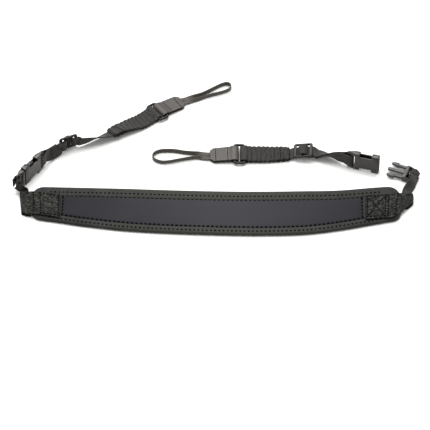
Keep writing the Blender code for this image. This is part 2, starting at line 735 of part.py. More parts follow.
def build_connector(side, layout, materials, meshes):
    middle = FEMALE_BAR / 2
    female = placement(*layout["female"])
    lead = buckle_rows(female, (middle + FEMALE_LEAD, middle, middle - FEMALE_LEAD), -layout["female"][4])
    route = Route(lead + layout["route"])
    bar = female @ Matrix.Translation(Vector((middle, 0, 0)) * MM) @ Matrix.Rotation(math.pi, 4, "Z")
    tip = Vector((SLIDER_LENGTH / 2, 0, SLIDER_LOW)) * MM
    pitch = Matrix.Rotation(math.radians(layout["slider_pitch"]), 4, "Y")
    slider = route_matrix(route, layout["slider_at"])
    slider = slider @ Matrix.Translation(tip) @ pitch @ Matrix.Translation(-tip)
    ring = route_matrix(route, layout["ring_at"])
    make_object("slider_" + side, meshes["slider"].copy(), materials["plastic"], slider)
    make_object("ring_" + side, meshes["ring"].copy(), materials["plastic"], ring)
    build_connector_web(side, route, layout, bar, slider, materials["webbing"])
    build_gathered_web(side, route, layout, ring, materials["webbing"])
    build_lug_tab(side, route, layout, ring, materials["smooth"])
    loop = Route(held_rows(route, layout, True) + layout["loop"] + held_rows(route, layout, False))
    path = [(s, 0.0) for s in even_steps(0.0, loop.length, 2.6)]
    ribbon("lug_loop_" + side, along(loop, path, TAPE_WIDTH, TAPE_THICK), materials["tape"])


def build_buckles(side, layout, materials, meshes):
    female = placement(*layout["female"])
    make_object("buckle_female_" + side, meshes["female"].copy(), materials["plastic"], female)
    if layout["male"]:
        male = placement(*layout["male"])
    else:
        male = female @ Matrix.Translation(Vector((MATED_TIP, 0, 0)) * MM)
    make_object("buckle_male_" + side, meshes["male"].copy(), materials["plastic"], male)
    build_neck_strap(side, layout, male, materials["webbing"])


def main():
    clear_scene()
    materials = {
        "foam": make_material("foam", (0.012, 0.012, 0.013), 0.95),
        "binding": make_material("binding_cloth", (0.020, 0.020, 0.020), 0.85),
        "panel": make_material("panel_cloth", (0.018, 0.018, 0.022), 0.80),
        "webbing": make_material("webbing", (0.030, 0.030, 0.027), 0.75),
        "smooth": make_material("smooth_webbing", (0.036, 0.034, 0.031), 0.65),
        "tape": make_material("loop_tape", (0.034, 0.033, 0.030), 0.70),
        "plastic": make_material("moulded_plastic", (0.022, 0.020, 0.019), 0.40),
    }
    meshes = {"female": female_mesh(), "male": male_mesh(), "slider": slider_mesh(), "ring": ring_mesh()}
    build_pad(materials["foam"], materials["binding"], materials["panel"])
    for side, layout in SIDES.items():
        build_end_tab(side, layout, materials["webbing"])
        build_buckles(side, layout, materials, meshes)
        build_connector(side, layout, materials, meshes)


main()
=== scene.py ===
import math
from bisect import bisect_left

import bmesh
import bpy
from mathutils import Matrix, Vector, noise
from mathutils.bvhtree import BVHTree


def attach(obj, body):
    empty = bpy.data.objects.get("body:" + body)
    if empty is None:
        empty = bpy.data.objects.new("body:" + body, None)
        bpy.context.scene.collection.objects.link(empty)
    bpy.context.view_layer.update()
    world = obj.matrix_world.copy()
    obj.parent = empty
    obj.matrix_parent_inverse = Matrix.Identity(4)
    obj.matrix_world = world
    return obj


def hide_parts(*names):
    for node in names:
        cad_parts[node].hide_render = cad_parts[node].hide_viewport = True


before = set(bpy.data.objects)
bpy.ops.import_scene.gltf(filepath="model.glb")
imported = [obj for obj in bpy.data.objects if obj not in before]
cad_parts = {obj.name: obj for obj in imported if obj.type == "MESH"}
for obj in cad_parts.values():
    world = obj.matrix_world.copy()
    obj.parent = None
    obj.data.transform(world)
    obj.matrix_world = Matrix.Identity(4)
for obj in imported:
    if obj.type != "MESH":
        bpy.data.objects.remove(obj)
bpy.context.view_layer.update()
print("frame loaded, nodes:", len(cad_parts))

mm = 0.001
up = Vector((0, 0, 1))

# the photograph's view: from the front, 45 degrees above the table, through a long lens
cameraFacts = {"target": (0.0, -0.091, 0.0), "elevation": 45.0, "distance": 3.0, "lens": 222.9}


def placeCamera(facts):
    camera = bpy.data.objects.new("camera", bpy.data.cameras.new("camera"))
    bpy.context.scene.collection.objects.link(camera)
    tilt = math.radians(facts["elevation"])
    back = Vector((0, -math.cos(tilt), math.sin(tilt)))
    camera.location = Vector(facts["target"]) + back * facts["distance"]
    camera.rotation_euler = (math.pi / 2 - tilt, 0, 0)
    camera.data.lens = facts["lens"]
    camera.data.sensor_width = 36
    camera.data.clip_end = 50
    bpy.context.scene.camera = camera


placeCamera(cameraFacts)
print("camera placed")

# where every piece lies, in millimetres, as in the part's own source but for the left strap's shorter tail
sides = {
    "left": {
        # far x, far y, near x, near y, bottom, top
        "tab": [
            (-175.3, -65.5, -173.9, -101.8, 3.0, 7.9), (-190.0, -63.0, -188.0, -98.8, 3.0, 7.9),
            (-203.0, -60.6, -200.5, -96.6, 3.0, 7.8), (-209.0, -59.6, -206.5, -95.0, 0.0, 6.9),
            (-213.0, -58.9, -210.5, -94.1, 0.0, 5.0), (-217.0, -58.2, -214.0, -93.0, 0.0, 5.3),
            (-220.4, -57.6, -216.6, -91.8, 0.0, 4.9), (-221.4, -57.5, -217.6, -91.2, 1.2, 3.6),
        ],
        "strapLevel": -1,
        "strapAtBar": (11.5, 1.4),
        "strapTail": (6.0, -1.9),
        # x, y, z, three of the way across, width
        "strap": [
            (-223.6, -54.6, 12.8, -0.1, -0.1, 0.98, 11.4), (-223.0, -55.4, 10.9, -0.7, 0.05, 0.6, 11.0),
            (-221.8, -55.7, 9.0, -0.95, 0.05, -0.2, 10.8), (-220.2, -55.6, 7.2, -0.84, 0.0, -0.54, 10.6),
            (-218.4, -55.4, 5.7, -0.78, 0.0, -0.62, 10.0), (-216.9, -55.2, 4.5, -0.85, -0.05, -0.5, 9.4),
            (-216.0, -55.6, 3.5, -0.96, -0.1, -0.26, 9.0), (-215.6, -56.9, 2.7, -1.0, 0.0, 0.0, 8.8),
            (-215.2, -59.4, 2.5, -1.0, 0.0, 0.0, 8.8), (-214.6, -65.0, 2.5, -1.0, 0.0, 0.0, 8.8),
            (-213.7, -71.5, 2.5, -1.0, 0.0, 0.0, 8.8),
        ],
        "female": (-196.8, -10.4, 12.2, -124.5, 90.0),
        "male": None,
        # x, y, z, roll
        "route": [
            (-188.8, -1.0, 9.0, -107.0), (-182.5, 5.0, 8.7, -109.0), (-176.8, 9.8, 9.2, -98.0),
            (-167.6, 14.2, 10.4, -79.0), (-158.0, 18.2, 9.4, -75.0), (-148.0, 22.2, 8.2, -66.0),
            (-138.0, 26.8, 7.2, -48.0), (-121.7, 36.0, 5.3, -19.0), (-110.3, 45.4, 4.9, -15.0),
            (-98.9, 52.4, 4.3, -9.0), (-88.2, 58.8, 3.1, -1.0), (-78.4, 66.8, 3.0, 1.0), (-67.7, 75.9, 3.6, 0.0),
            (-50.5, 87.8, 3.1, 0.0), (-36.0, 96.4, 2.3, 0.0),
        ],
        "sliderAt": 44.8,
        "sewnAt": [17.5, 19.5],
        "sliderPitch": 0.0,
        "webEndAt": 109.2,
        "ringAt": 164.5,
        "loopStarts": -1,
        # x, y, z, roll
        "loop": [
            (-29.0, 95.6, 2.8, 30.0), (-20.0, 98.4, 3.1, 72.0), (-11.8, 102.6, 3.1, 88.0), (-3.5, 106.2, 3.1, 92.0),
            (5.9, 109.7, 3.1, 96.0), (13.0, 113.0, 3.1, 96.0), (17.3, 116.2, 3.1, 94.0), (18.9, 119.9, 3.1, 90.0),
            (17.7, 124.0, 3.1, 90.0), (14.0, 125.9, 3.1, 90.0), (9.5, 124.6, 3.1, 90.0), (4.7, 121.7, 3.1, 94.0),
            (-2.4, 116.4, 3.1, 98.0), (-9.4, 111.2, 3.1, 100.0), (-16.5, 106.6, 3.1, 104.0),
            (-25.0, 103.0, 2.9, 130.0), (-33.5, 99.6, 2.6, 172.0),
        ],
    },
    "right": {
        "tab": [
            (170.8, -67.0, 168.5, -104.5, 3.0, 7.9), (190.0, -64.8, 188.0, -102.7, 3.0, 7.9),
            (203.0, -63.3, 198.6, -101.7, 3.0, 7.8), (210.0, -62.4, 204.5, -97.2, 0.0, 7.2),
            (214.5, -61.9, 210.0, -91.2, 0.0, 5.1), (219.0, -61.4, 217.5, -82.2, 0.0, 5.4),
            (223.4, -60.9, 222.6, -76.6, 0.0, 4.9), (224.6, -60.7, 223.8, -75.2, 1.2, 3.6),
        ],
        "strapLevel": 1,
        "strapAtBar": (15.0, 0.0),
        "strapTail": (4.4, -1.9),
        "strap": [
            (227.8, -32.7, 6.4, 0.45, 0.87, -0.22, 13.8), (227.4, -35.3, 6.7, 0.64, 0.5, -0.58, 12.6),
            (226.9, -38.7, 6.9, 0.6, 0.0, -0.79, 12.4), (225.7, -42.2, 7.0, 0.55, -0.24, -0.8, 12.4),
            (224.2, -45.8, 6.6, 0.56, -0.28, -0.78, 12.4), (222.2, -49.2, 5.5, 0.68, -0.3, -0.66, 12.0),
            (219.9, -52.4, 4.1, 0.85, -0.26, -0.45, 11.5), (218.1, -55.6, 2.9, 0.98, -0.12, -0.12, 11.0),
            (217.2, -59.0, 2.5, 1.0, 0.0, 0.0, 10.8), (216.9, -64.0, 2.5, 1.0, 0.0, 0.0, 10.6),
            (216.7, -70.5, 2.5, 1.0, 0.0, 0.0, 10.4),
        ],
        "female": (151.8, -11.3, 12.2, -16.3, -90.0),
        "male": (198.2, -19.4, 3.9, -22.0, 0.0),
        "route": [
            (144.6, -8.6, 11.4, 85.0), (140.4, -6.6, 10.2, 75.0), (135.6, -4.0, 8.8, 61.0), (130.0, -1.6, 7.3, 43.0),
            (122.0, 2.2, 5.2, 17.0), (112.0, 4.4, 4.2, 3.0), (98.6, 5.6, 3.8, -6.0), (87.4, 4.8, 3.8, -6.0),
            (78.0, 4.2, 3.8, -6.0), (60.0, 3.6, 3.8, -6.0), (36.0, 3.4, 4.4, -6.0), (22.8, 3.3, 4.8, -5.0),
            (10.0, 3.0, 4.0, -2.0), (-10.0, 2.2, 2.3, 0.0),
        ],
        "sliderAt": 60.0,
        "sewnAt": [15.0, 17.0],
        "sliderPitch": 8.0,
        "webEndAt": 87.4,
        "ringAt": 133.8,
        "loopStarts": 1,
        "loop": [
            (-15.6, -0.5, 2.8, 144.0), (-20.0, -0.4, 3.1, 104.0), (-26.4, -1.2, 3.1, 88.0), (-35.6, -3.0, 3.1, 82.0),
            (-43.6, -5.1, 3.1, 80.0), (-51.7, -7.3, 3.1, 82.0), (-59.7, -8.3, 3.1, 86.0), (-65.4, -6.8, 3.1, 90.0),
            (-70.1, -3.5, 3.1, 90.0), (-71.7, 2.0, 3.1, 90.0), (-69.1, 7.0, 3.1, 90.0), (-63.4, 10.0, 3.1, 86.0),
            (-54.2, 10.8, 3.1, 80.0), (-45.0, 10.0, 3.1, 78.0), (-35.7, 7.8, 3.1, 76.0), (-26.5, 6.6, 3.1, 70.0),
            (-18.5, 5.9, 2.9, 40.0), (-14.6, 5.6, 2.7, 16.0),
        ],
    },
}

# sizes of the bought-in webbing and hardware, in millimetres
web = {
    "gap": 0.3,
    "slack": 0.05,
    "thick": 1.2,
    "strapWidth": 15.0,
    "layerOffset": 0.75,
    "layerSpread": 0.3,
    "ringBulge": 0.8,
    "buckleBulge": 0.62,
    "sandwichOffset": 1.5,
    "wide": 21.0,
    "tapeWidth": 5.5,
    "tapeThick": 1.1,
    "overlap": 12.0,
    "gatherStartWidth": 16.4,
}
hardware = {
    "ringLength": 15.0,
    "ringBar": 3.4,
    "sliderLength": 22.0,
    "sliderLow": 1.85,
    "sliderBarHeight": 3.05,
    "sliderBar": 1.0,
    "femaleBar": 3.2,
    "femaleBarHalf": 2.4,
    "femaleLead": 4.2,
    "maleBarNear": 28.2,
    "maleBarHalf": 2.25,
    "maleLength": 31.7,
    "matedTip": 17.8,
}
ringBarAt = (hardware["ringLength"] - hardware["ringBar"]) / 2
lug = {
    "length": 28.0,
    "shoulderRun": 4.2,
    "shoulder": 3.6,
    "afterShoulder": 0.6,
    "ringClear": 5.5,
    "tapeSpread": 3.15,
    "tapeSpacing": 2.6,
    "held": (12.0, 4.0, -1.5),
}


def spline(rows, position):
    index = min(int(position), len(rows) - 2)
    t = position - index
    p1, p2 = rows[index], rows[index + 1]
    p0 = rows[index - 1] if index > 0 else [2 * a - b for a, b in zip(p1, p2)]
    p3 = rows[index + 2] if index + 2 < len(rows) else [2 * b - a for a, b in zip(p1, p2)]
    return [
        0.5 * (2 * b + (c - a) * t + (2 * a - 5 * b + 4 * c - d) * t ** 2 + (3 * b - a - 3 * c + d) * t ** 3)
        for a, b, c, d in zip(p0, p1, p2, p3)
    ]


def makeRoute(rows, detail=16):
    fine = [spline(rows, step / detail) for step in range((len(rows) - 1) * detail + 1)]
    distance = [0.0]
    for before, after in zip(fine, fine[1:]):
        distance.append(distance[-1] + math.dist(before[:3], after[:3]))
    return {"rows": fine, "distance": distance, "length": distance[-1]}


def routeRow(route, s):
    distance = route["distance"]
    place = min(max(s, 0.0), route["length"])
    index = min(max(bisect_left(distance, place) - 1, 0), len(distance) - 2)
    t = (s - distance[index]) / (distance[index + 1] - distance[index])
    return [a + (b - a) * t for a, b in zip(route["rows"][index], route["rows"][index + 1])]


def turnedFrame(ahead, roll):
    level = up.cross(ahead).normalized()
    angle = math.radians(roll)
    lateral = level * math.cos(angle) + ahead.cross(level) * math.sin(angle)
    return lateral, ahead.cross(lateral)


def routeFrame(route, s):
    row = routeRow(route, s)
    ahead = Vector(routeRow(route, s + 1.0)[:3]) - Vector(routeRow(route, s - 1.0)[:3])
    return (Vector(row[:3]), *turnedFrame(ahead.normalized(), row[3]), row)


def frameMatrix(centre, ahead, lateral, normal):
    turn = Matrix((ahead, lateral, normal)).transposed().to_4x4()
    return Matrix.Translation(centre * mm) @ turn


def placement(x, y, z, heading, roll):
    ahead = Vector((math.cos(math.radians(heading)), math.sin(math.radians(heading)), 0))
    return frameMatrix(Vector((x, y, z)), ahead, *turnedFrame(ahead, roll))


def routeMatrix(route, s):
    centre, lateral, normal, _ = routeFrame(route, s)
    return frameMatrix(centre, lateral.cross(normal), lateral, normal)


def along(route, path, width, thickness=web["thick"]):
    stations = []
    for s, height in path:
        centre, lateral, normal, _ = routeFrame(route, s)
        wide = width(s) if callable(width) else width
        stations.append((centre + normal * height, lateral, wide, thickness))
    return stations


def inFrame(place, path, width):
    lateral = place.to_3x3() @ Vector((0, 1, 0))
    return [(place @ Vector((u * mm, 0, n * mm)) / mm, lateral, width, web["thick"]) for u, n in path]


def arc(centreS, centreN, radius, start, end, steps):
    angles = [math.radians(start + (end - start) * step / steps) for step in range(steps + 1)]
    return [(centreS + radius * math.cos(a), centreN + radius * math.sin(a)) for a in angles]


def evenSteps(start, end, spacing):
    count = max(1, round(abs(end - start) / spacing))
    return [start + (end - start) * step / count for step in range(count + 1)]


def hairpin(barHalf):
    return barHalf + web["gap"] + web["slack"] + web["thick"] / 2


def bulged(points, bar, share):
    # stiff doubled cloth stands off the bar it turns round and nearly fills the slot
    return [(bar + (u - bar) * (1.0 + share), n) for u, n in points]


def buckleRows(place, positions, *columns):
    return [(*(place @ Vector((u * mm, 0, 0)) / mm), *columns) for u in positions]


def linearColor(hexText):
    channels = [int(hexText[i : i + 2], 16) / 255 for i in (1, 3, 5)]
    return (*[c / 12.92 if c <= 0.04045 else ((c + 0.055) / 1.055) ** 2.4 for c in channels], 1.0)


def addNode(tree, kind, values=None):
    # a key that is a number or a socket's name fills that input, from a value, a hex colour, a socket or a node
    node = tree.nodes.new(kind)
    for key, value in (values or {}).items():
        if not (isinstance(key, int) or key in node.inputs):
            setattr(node, key, value)
            continue
        if isinstance(value, bpy.types.Node):
            value = value.outputs[0]
        if isinstance(value, bpy.types.NodeSocket):
            tree.links.new(value, node.inputs[key])
        elif isinstance(value, str) and value.startswith("#"):
            node.inputs[key].default_value = linearColor(value)
        else:
            node.inputs[key].default_value = value
    return node


def startMaterial(name, facts):
    material = bpy.data.materials.new(name)
    material.use_nodes = True
    tree = material.node_tree
    shader = tree.nodes["Principled BSDF"]
    for key, value in facts.items():
        shader.inputs[key].default_value = value
    return material, tree, shader


def wovenMaterial(name, facts):
    # woven nylon: threads of both directions take turns on top, each crossing given a tone of its own, partly the
    # thread's random tone and partly a painted glint
    shine = {"Roughness": facts["roughness"], "Specular IOR Level": facts["gloss"], "IOR": 1.53}
    shine.update({"Sheen Weight": facts["sheen"], "Sheen Roughness": 0.45})
    material, tree, shader = startMaterial(name, shine)
    # along, across and layer in millimetres, stored on the cloth when it was laid out
    place = addNode(tree, "ShaderNodeAttribute", {"attribute_name": "cloth"}).outputs["Vector"]
    turns = (math.pi / facts["weft"], math.pi / facts["warp"], 1.0)
    turned = addNode(tree, "ShaderNodeVectorMath", {"operation": "MULTIPLY", 0: place, 1: turns})
    parts = addNode(tree, "ShaderNodeSeparateXYZ", {0: turned}).outputs
    weft = addNode(tree, "ShaderNodeMath", {"operation": "SINE", 0: parts[0]})
    warp = addNode(tree, "ShaderNodeMath", {"operation": "SINE", 0: parts[1]})
    waves = addNode(tree, "ShaderNodeMath", {"operation": "MULTIPLY", 0: weft, 1: warp})
    crossing = addNode(tree, "ShaderNodeMath", {"operation": "ABSOLUTE", 0: waves})
    # each length of thread that lies on top has a tone of its own: partly random thread tone, partly painted glints of
    # the light on it
    perCell = (1 / facts["cell"][0], 1 / facts["cell"][1], 1.0)
    counted = addNode(tree, "ShaderNodeVectorMath", {"operation": "MULTIPLY", 0: place, 1: perCell})
    cell = addNode(tree, "ShaderNodeVectorMath", {"operation": "FLOOR", 0: counted})
    tone = addNode(tree, "ShaderNodeTexWhiteNoise", {"noise_dimensions": "3D", "Vector": cell})
    blotch = addNode(tree, "ShaderNodeTexNoise", {"Scale": 1 / facts["blotch"], "Detail": 3.0, "Vector": place})
    speckle = addNode(tree, "ShaderNodeMath", {"operation": "MULTIPLY", 0: tone, 1: facts["speckle"]})
    thread = addNode(tree, "ShaderNodeMath", {"operation": "ADD", 0: speckle, 1: blotch})
    fullTone = 0.75 + facts["speckle"]
    factor = addNode(tree, "ShaderNodeMapRange", {"Value": thread, "From Min": 0.35, "From Max": fullTone})
    biased = addNode(tree, "ShaderNodeMath", {"operation": "POWER", 0: factor, 1: facts["bias"]})
    base = addNode(tree, "ShaderNodeMix", {"data_type": "RGBA", 0: biased, 6: facts["dark"], 7: facts["light"]})
    # painted shade: darker in the hollows between the threads, and in the rib valleys that the "shade" attribute marks
    hollow = {"Value": crossing, "From Min": 0.0, "From Max": 0.5, "To Min": facts["hollow"], "To Max": 1.0}
    paintedGapShade = addNode(tree, "ShaderNodeMapRange", hollow)
    held = addNode(tree, "ShaderNodeAttribute", {"attribute_name": "shade"}).outputs["Fac"]
    free = addNode(tree, "ShaderNodeMath", {"operation": "SUBTRACT", 0: 1.0, 1: held})
    shade = addNode(tree, "ShaderNodeMath", {"operation": "MULTIPLY", 0: paintedGapShade, 1: free})
    darken = {"data_type": "RGBA", "blend_type": "MULTIPLY", 0: 1.0, 6: base.outputs[2], 7: shade}
    tree.links.new(addNode(tree, "ShaderNodeMix", darken).outputs[2], shader.inputs["Base Color"])
    raised = addNode(tree, "ShaderNodeMath", {"operation": "MULTIPLY", 0: tone, 1: 0.6})
    height = addNode(tree, "ShaderNodeMath", {"operation": "ADD", 0: crossing, 1: raised})
    bump = addNode(tree, "ShaderNodeBump", {"Strength": facts["relief"], "Distance": 0.0004, "Height": height})
    tree.links.new(bump.outputs[0], shader.inputs["Normal"])
    return material


def knitMaterial(name, facts):
    # fine knit laminated on foam: soft, nearly even, with a faint nap
    shine = {"Roughness": facts["roughness"], "Specular IOR Level": facts["gloss"], "IOR": 1.5}
    shine.update({"Sheen Weight": facts["sheen"], "Sheen Roughness": 0.5})
    material, tree, shader = startMaterial(name, shine)
    place = addNode(tree, "ShaderNodeTexCoord").outputs["Object"]
    broad = addNode(tree, "ShaderNodeTexNoise", {"Scale": 1 / (facts["broad"] * mm), "Detail": 2.0, "Vector": place})
    grain = addNode(tree, "ShaderNodeTexNoise", {"Scale": 1 / (facts["grain"] * mm), "Detail": 3.0, "Vector": place})
    broadShare = addNode(tree, "ShaderNodeMath", {"operation": "MULTIPLY", 0: broad, 1: 0.55})
    grainShare = addNode(tree, "ShaderNodeMath", {"operation": "MULTIPLY", 0: grain, 1: 0.45})
    amount = addNode(tree, "ShaderNodeMath", {"operation": "ADD", 0: broadShare, 1: grainShare})
    factor = addNode(tree, "ShaderNodeMapRange", {"Value": amount, "From Min": 0.36, "From Max": 0.64})
    base = addNode(tree, "ShaderNodeMix", {"data_type": "RGBA", 0: factor, 6: facts["dark"], 7: facts["light"]})
    # painted sheen: the colour goes paler towards the middle of the band, standing in for the light's broad reflection
    # there
    along = addNode(tree, "ShaderNodeSeparateXYZ", {0: place}).outputs[0]
    offset = addNode(tree, "ShaderNodeMath", {"operation": "SUBTRACT", 0: along, 1: facts["middle"] * mm})
    away = addNode(tree, "ShaderNodeMath", {"operation": "ABSOLUTE", 0: offset})
    fade = {"Value": away, "From Min": facts["paintedSheen"] * mm, "From Max": facts["paintedSheenFull"] * mm}
    paintedSheen = addNode(tree, "ShaderNodeMapRange", fade)
    paler = {"data_type": "RGBA", 0: paintedSheen, 6: base.outputs[2], 7: facts["paintedSheenColor"]}
    tree.links.new(addNode(tree, "ShaderNodeMix", paler).outputs[2], shader.inputs["Base Color"])
    bump = addNode(tree, "ShaderNodeBump", {"Strength": facts["relief"], "Distance": 0.0003, "Height": grain})
    tree.links.new(bump.outputs[0], shader.inputs["Normal"])
    return material


def mouldedMaterial(name, facts):
    # injection-moulded acetal from a spark-eroded tool: satin, with a fine even grain and softly worn edges
    shine = {"Roughness": facts["roughness"], "Specular IOR Level": facts["gloss"], "IOR": 1.48}
    material, tree, shader = startMaterial(name, shine)
    place = addNode(tree, "ShaderNodeTexCoord").outputs["Object"]
    grain = addNode(tree, "ShaderNodeTexNoise", {"Scale": 1 / (facts["grain"] * mm), "Detail": 2.0, "Vector": place})
    worn = addNode(tree, "ShaderNodeTexNoise", {"Scale": 1 / (facts["worn"] * mm), "Detail": 3.0, "Vector": place})
    base = addNode(tree, "ShaderNodeMix", {"data_type": "RGBA", 0: worn, 6: facts["dark"], 7: facts["light"]})
    tree.links.new(base.outputs[2], shader.inputs["Base Color"])
    spread = {"To Min": facts["roughness"] - 0.06, "To Max": facts["roughness"] + 0.08}
    rough = addNode(tree, "ShaderNodeMapRange", {"Value": worn, "From Min": 0.3, "From Max": 0.7, **spread})
    tree.links.new(rough.outputs[0], shader.inputs["Roughness"])
    bump = addNode(tree, "ShaderNodeBump", {"Strength": 0.25, "Distance": 0.0001, "Height": grain})
    tree.links.new(bump.outputs[0], shader.inputs["Normal"])
    return material


def specklyMaterial(name, facts):
    # one colour, taken a little towards a second one by a fine fibre
    shine = {"Roughness": facts["roughness"], "Specular IOR Level": facts["gloss"]}
    material, tree, shader = startMaterial(name, shine)
    place = addNode(tree, "ShaderNodeTexCoord").outputs["Object"]
    fibre = addNode(tree, "ShaderNodeTexNoise", {"Scale": facts["scale"], "Detail": facts["detail"], "Vector": place})
    share = {"Value": fibre, "From Min": 0.3, "From Max": 0.7, "To Min": 0.0, "To Max": facts["share"]}
    factor = addNode(tree, "ShaderNodeMapRange", share)
    base = addNode(tree, "ShaderNodeMix", {"data_type": "RGBA", 0: factor, 6: facts["color"], 7: facts["second"]})
    tree.links.new(base.outputs[2], shader.inputs["Base Color"])
    return material


# heavy woven nylon of the end tabs: a basket weave of about 2 mm, drawn coarse enough to show, with strong pale
# speckles in its colour as painted glints
ballisticNylon = wovenMaterial("woven ballistic nylon", {
    "warp": 1.7, "weft": 1.9, "cell": (2.6, 2.2), "speckle": 1.6, "blotch": 4.0, "bias": 2.0, "hollow": 0.4,
    "dark": "#050505", "light": "#45453f", "gloss": 0.12, "roughness": 0.62, "sheen": 0.0, "relief": 1.0,
})
# narrow and gathered nylon webbing: finer threads, a brownish black
nylonWebbing = wovenMaterial("woven nylon webbing", {
    "warp": 1.25, "weft": 1.1, "cell": (1.1, 1.25), "speckle": 0.9, "blotch": 4.0, "bias": 1.4, "hollow": 0.5,
    "dark": "#0c0b0a", "light": "#332f29", "gloss": 0.22, "roughness": 0.5, "sheen": 0.05, "relief": 0.6,
})
# the lug tabs: tight weave pressed smooth, a warmer sheen
pressedWebbing = wovenMaterial("pressed polyester webbing", {
    "warp": 1.0, "weft": 0.9, "cell": (3.0, 1.0), "speckle": 0.25, "blotch": 8.0, "bias": 1.0, "hollow": 0.8,
    "dark": "#26221e", "light": "#332e29", "gloss": 0.35, "roughness": 0.42, "sheen": 0.08, "relief": 0.25,
})
# loop tape: thin flat polyester tape, slightly warm
loopTape = wovenMaterial("woven polyester tape", {
    "warp": 0.9, "weft": 0.8, "cell": (0.8, 0.9), "speckle": 0.4, "blotch": 5.0, "bias": 1.0, "hollow": 0.6,
    "dark": "#302c27", "light": "#45403a", "gloss": 0.3, "roughness": 0.5, "sheen": 0.05, "relief": 0.4,
})
# border: brushed knit folded round the foam, a soft neutral grey under the light
borderKnit = knitMaterial("brushed knit binding", {
    "broad": 12.0, "grain": 1.6, "dark": "#101011", "light": "#2a2a29", "gloss": 0.12, "roughness": 0.75,
    # the paler middle of this colour is a painted sheen
    "sheen": 0.05, "relief": 0.6, "middle": 10.0, "paintedSheen": 230.0, "paintedSheenFull": 20.0, "paintedSheenColor": "#2c2c28",
})
# centre panel: fine smooth knit, a cool near-black
panelKnit = knitMaterial("smooth knit facing", {
    "broad": 40.0, "grain": 1.1, "dark": "#111115", "light": "#19191d", "gloss": 0.1, "roughness": 0.7,
    # the paler middle of this colour is a painted sheen
    "sheen": 0.04, "relief": 0.35, "middle": 10.0, "paintedSheen": 170.0, "paintedSheenFull": 20.0, "paintedSheenColor": "#28282b",
})
# black acetal of the buckles
acetal = mouldedMaterial("moulded acetal", {
    "dark": "#14110f", "light": "#1d1a17", "gloss": 0.5, "roughness": 0.33, "grain": 0.5, "worn": 9.0,
})
# sliders and rings are eased and matt from rubbing in the webbing, so their rims stay dark
mattAcetal = mouldedMaterial("matt acetal", {
    "dark": "#0c0a09", "light": "#171412", "gloss": 0.28, "roughness": 0.46, "grain": 0.5, "worn": 9.0,
})
# seams: bonded thread, nearly black and matt, so each stitch reads as a dark dash
sewingThread = specklyMaterial("bonded polyester thread", {
    "color": "#050508", "second": "#000000", "share": 0.25, "scale": 900.0, "detail": 2.0,
    "roughness": 0.85, "gloss": 0.04,
})
print("materials made")


def shown(name, mesh, material):
    piece = bpy.data.objects.new(name, mesh)
    bpy.context.scene.collection.objects.link(piece)
    piece.data.materials.clear()
    piece.data.materials.append(material)
    return piece


def finishPiece(piece, slotName, *nodes):
    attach(piece, "root")
    if nodes:
        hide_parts(*nodes)
    return piece


def meshFrom(name, vertices, faces, cloth=None):
    mesh = bpy.data.meshes.new(name)
    mesh.from_pydata([Vector(point) * mm for point in vertices], [], faces)
    if cloth:
        store = mesh.attributes.new("cloth", "FLOAT_VECTOR", "POINT")
        store.data.foreach_set("vector", [number for row in cloth for number in row])
    work = bmesh.new()
    work.from_mesh(mesh)
    bmesh.ops.recalc_face_normals(work, faces=work.faces)
    work.to_mesh(mesh)
    work.free()
    mesh.shade_smooth()
    return mesh


def bakeModifiers(piece):
    graph = bpy.context.evaluated_depsgraph_get()
    mesh = bpy.data.meshes.new_from_object(piece.evaluated_get(graph), depsgraph=graph)
    piece.modifiers.clear()
    piece.data = mesh
    return piece


def resample(stations, step):
    # an even, smooth run through given stations, safe on uneven spacing
    rows = [(*centre, *lateral, width, thick) for centre, lateral, width, thick in stations]
    spans = [max(math.dist(a[:3], b[:3]), 1e-6) for a, b in zip(rows, rows[1:])]
    slopes = []
    for index in range(len(rows)):
        before = max(index - 1, 0)
        after = min(index, len(spans) - 1)
        left = [(b - a) / spans[before] for a, b in zip(rows[before], rows[before + 1])]
        right = [(b - a) / spans[after] for a, b in zip(rows[after], rows[after + 1])]
        weight = spans[before] + spans[after]
        slopes.append([(l * spans[after] + r * spans[before]) / weight for l, r in zip(left, right)])
    fine = []
    for index, span in enumerate(spans):
        count = max(1, math.ceil(span / step))
        for part in range(count):
            t = part / count
            start, startSlope = 2 * t ** 3 - 3 * t ** 2 + 1, (t ** 3 - 2 * t ** 2 + t) * span
            end, endSlope = 3 * t ** 2 - 2 * t ** 3, (t ** 3 - t ** 2) * span
            groups = zip(rows[index], slopes[index], rows[index + 1], slopes[index + 1])
            fine.append([start * a + startSlope * b + end * c + endSlope * d for a, b, c, d in groups])
    fine.append(rows[-1])
    return [(Vector(row[:3]), Vector(row[3:6]).normalized(), row[6], row[7]) for row in fine]


def skin(loops):
    # walls between equal loops, and a flat face at each end
    count, faces = len(loops[0]), []
    for start in range(0, (len(loops) - 1) * count, count):
        for step in range(count):
            here, after = start + step, start + (step + 1) % count
            faces.append((here, after, after + count, here + count))
    faces.append(tuple(range(count)))
    faces.append(tuple(range((len(loops) - 1) * count, len(loops) * count)))
    return [point for loop in loops for point in loop], faces


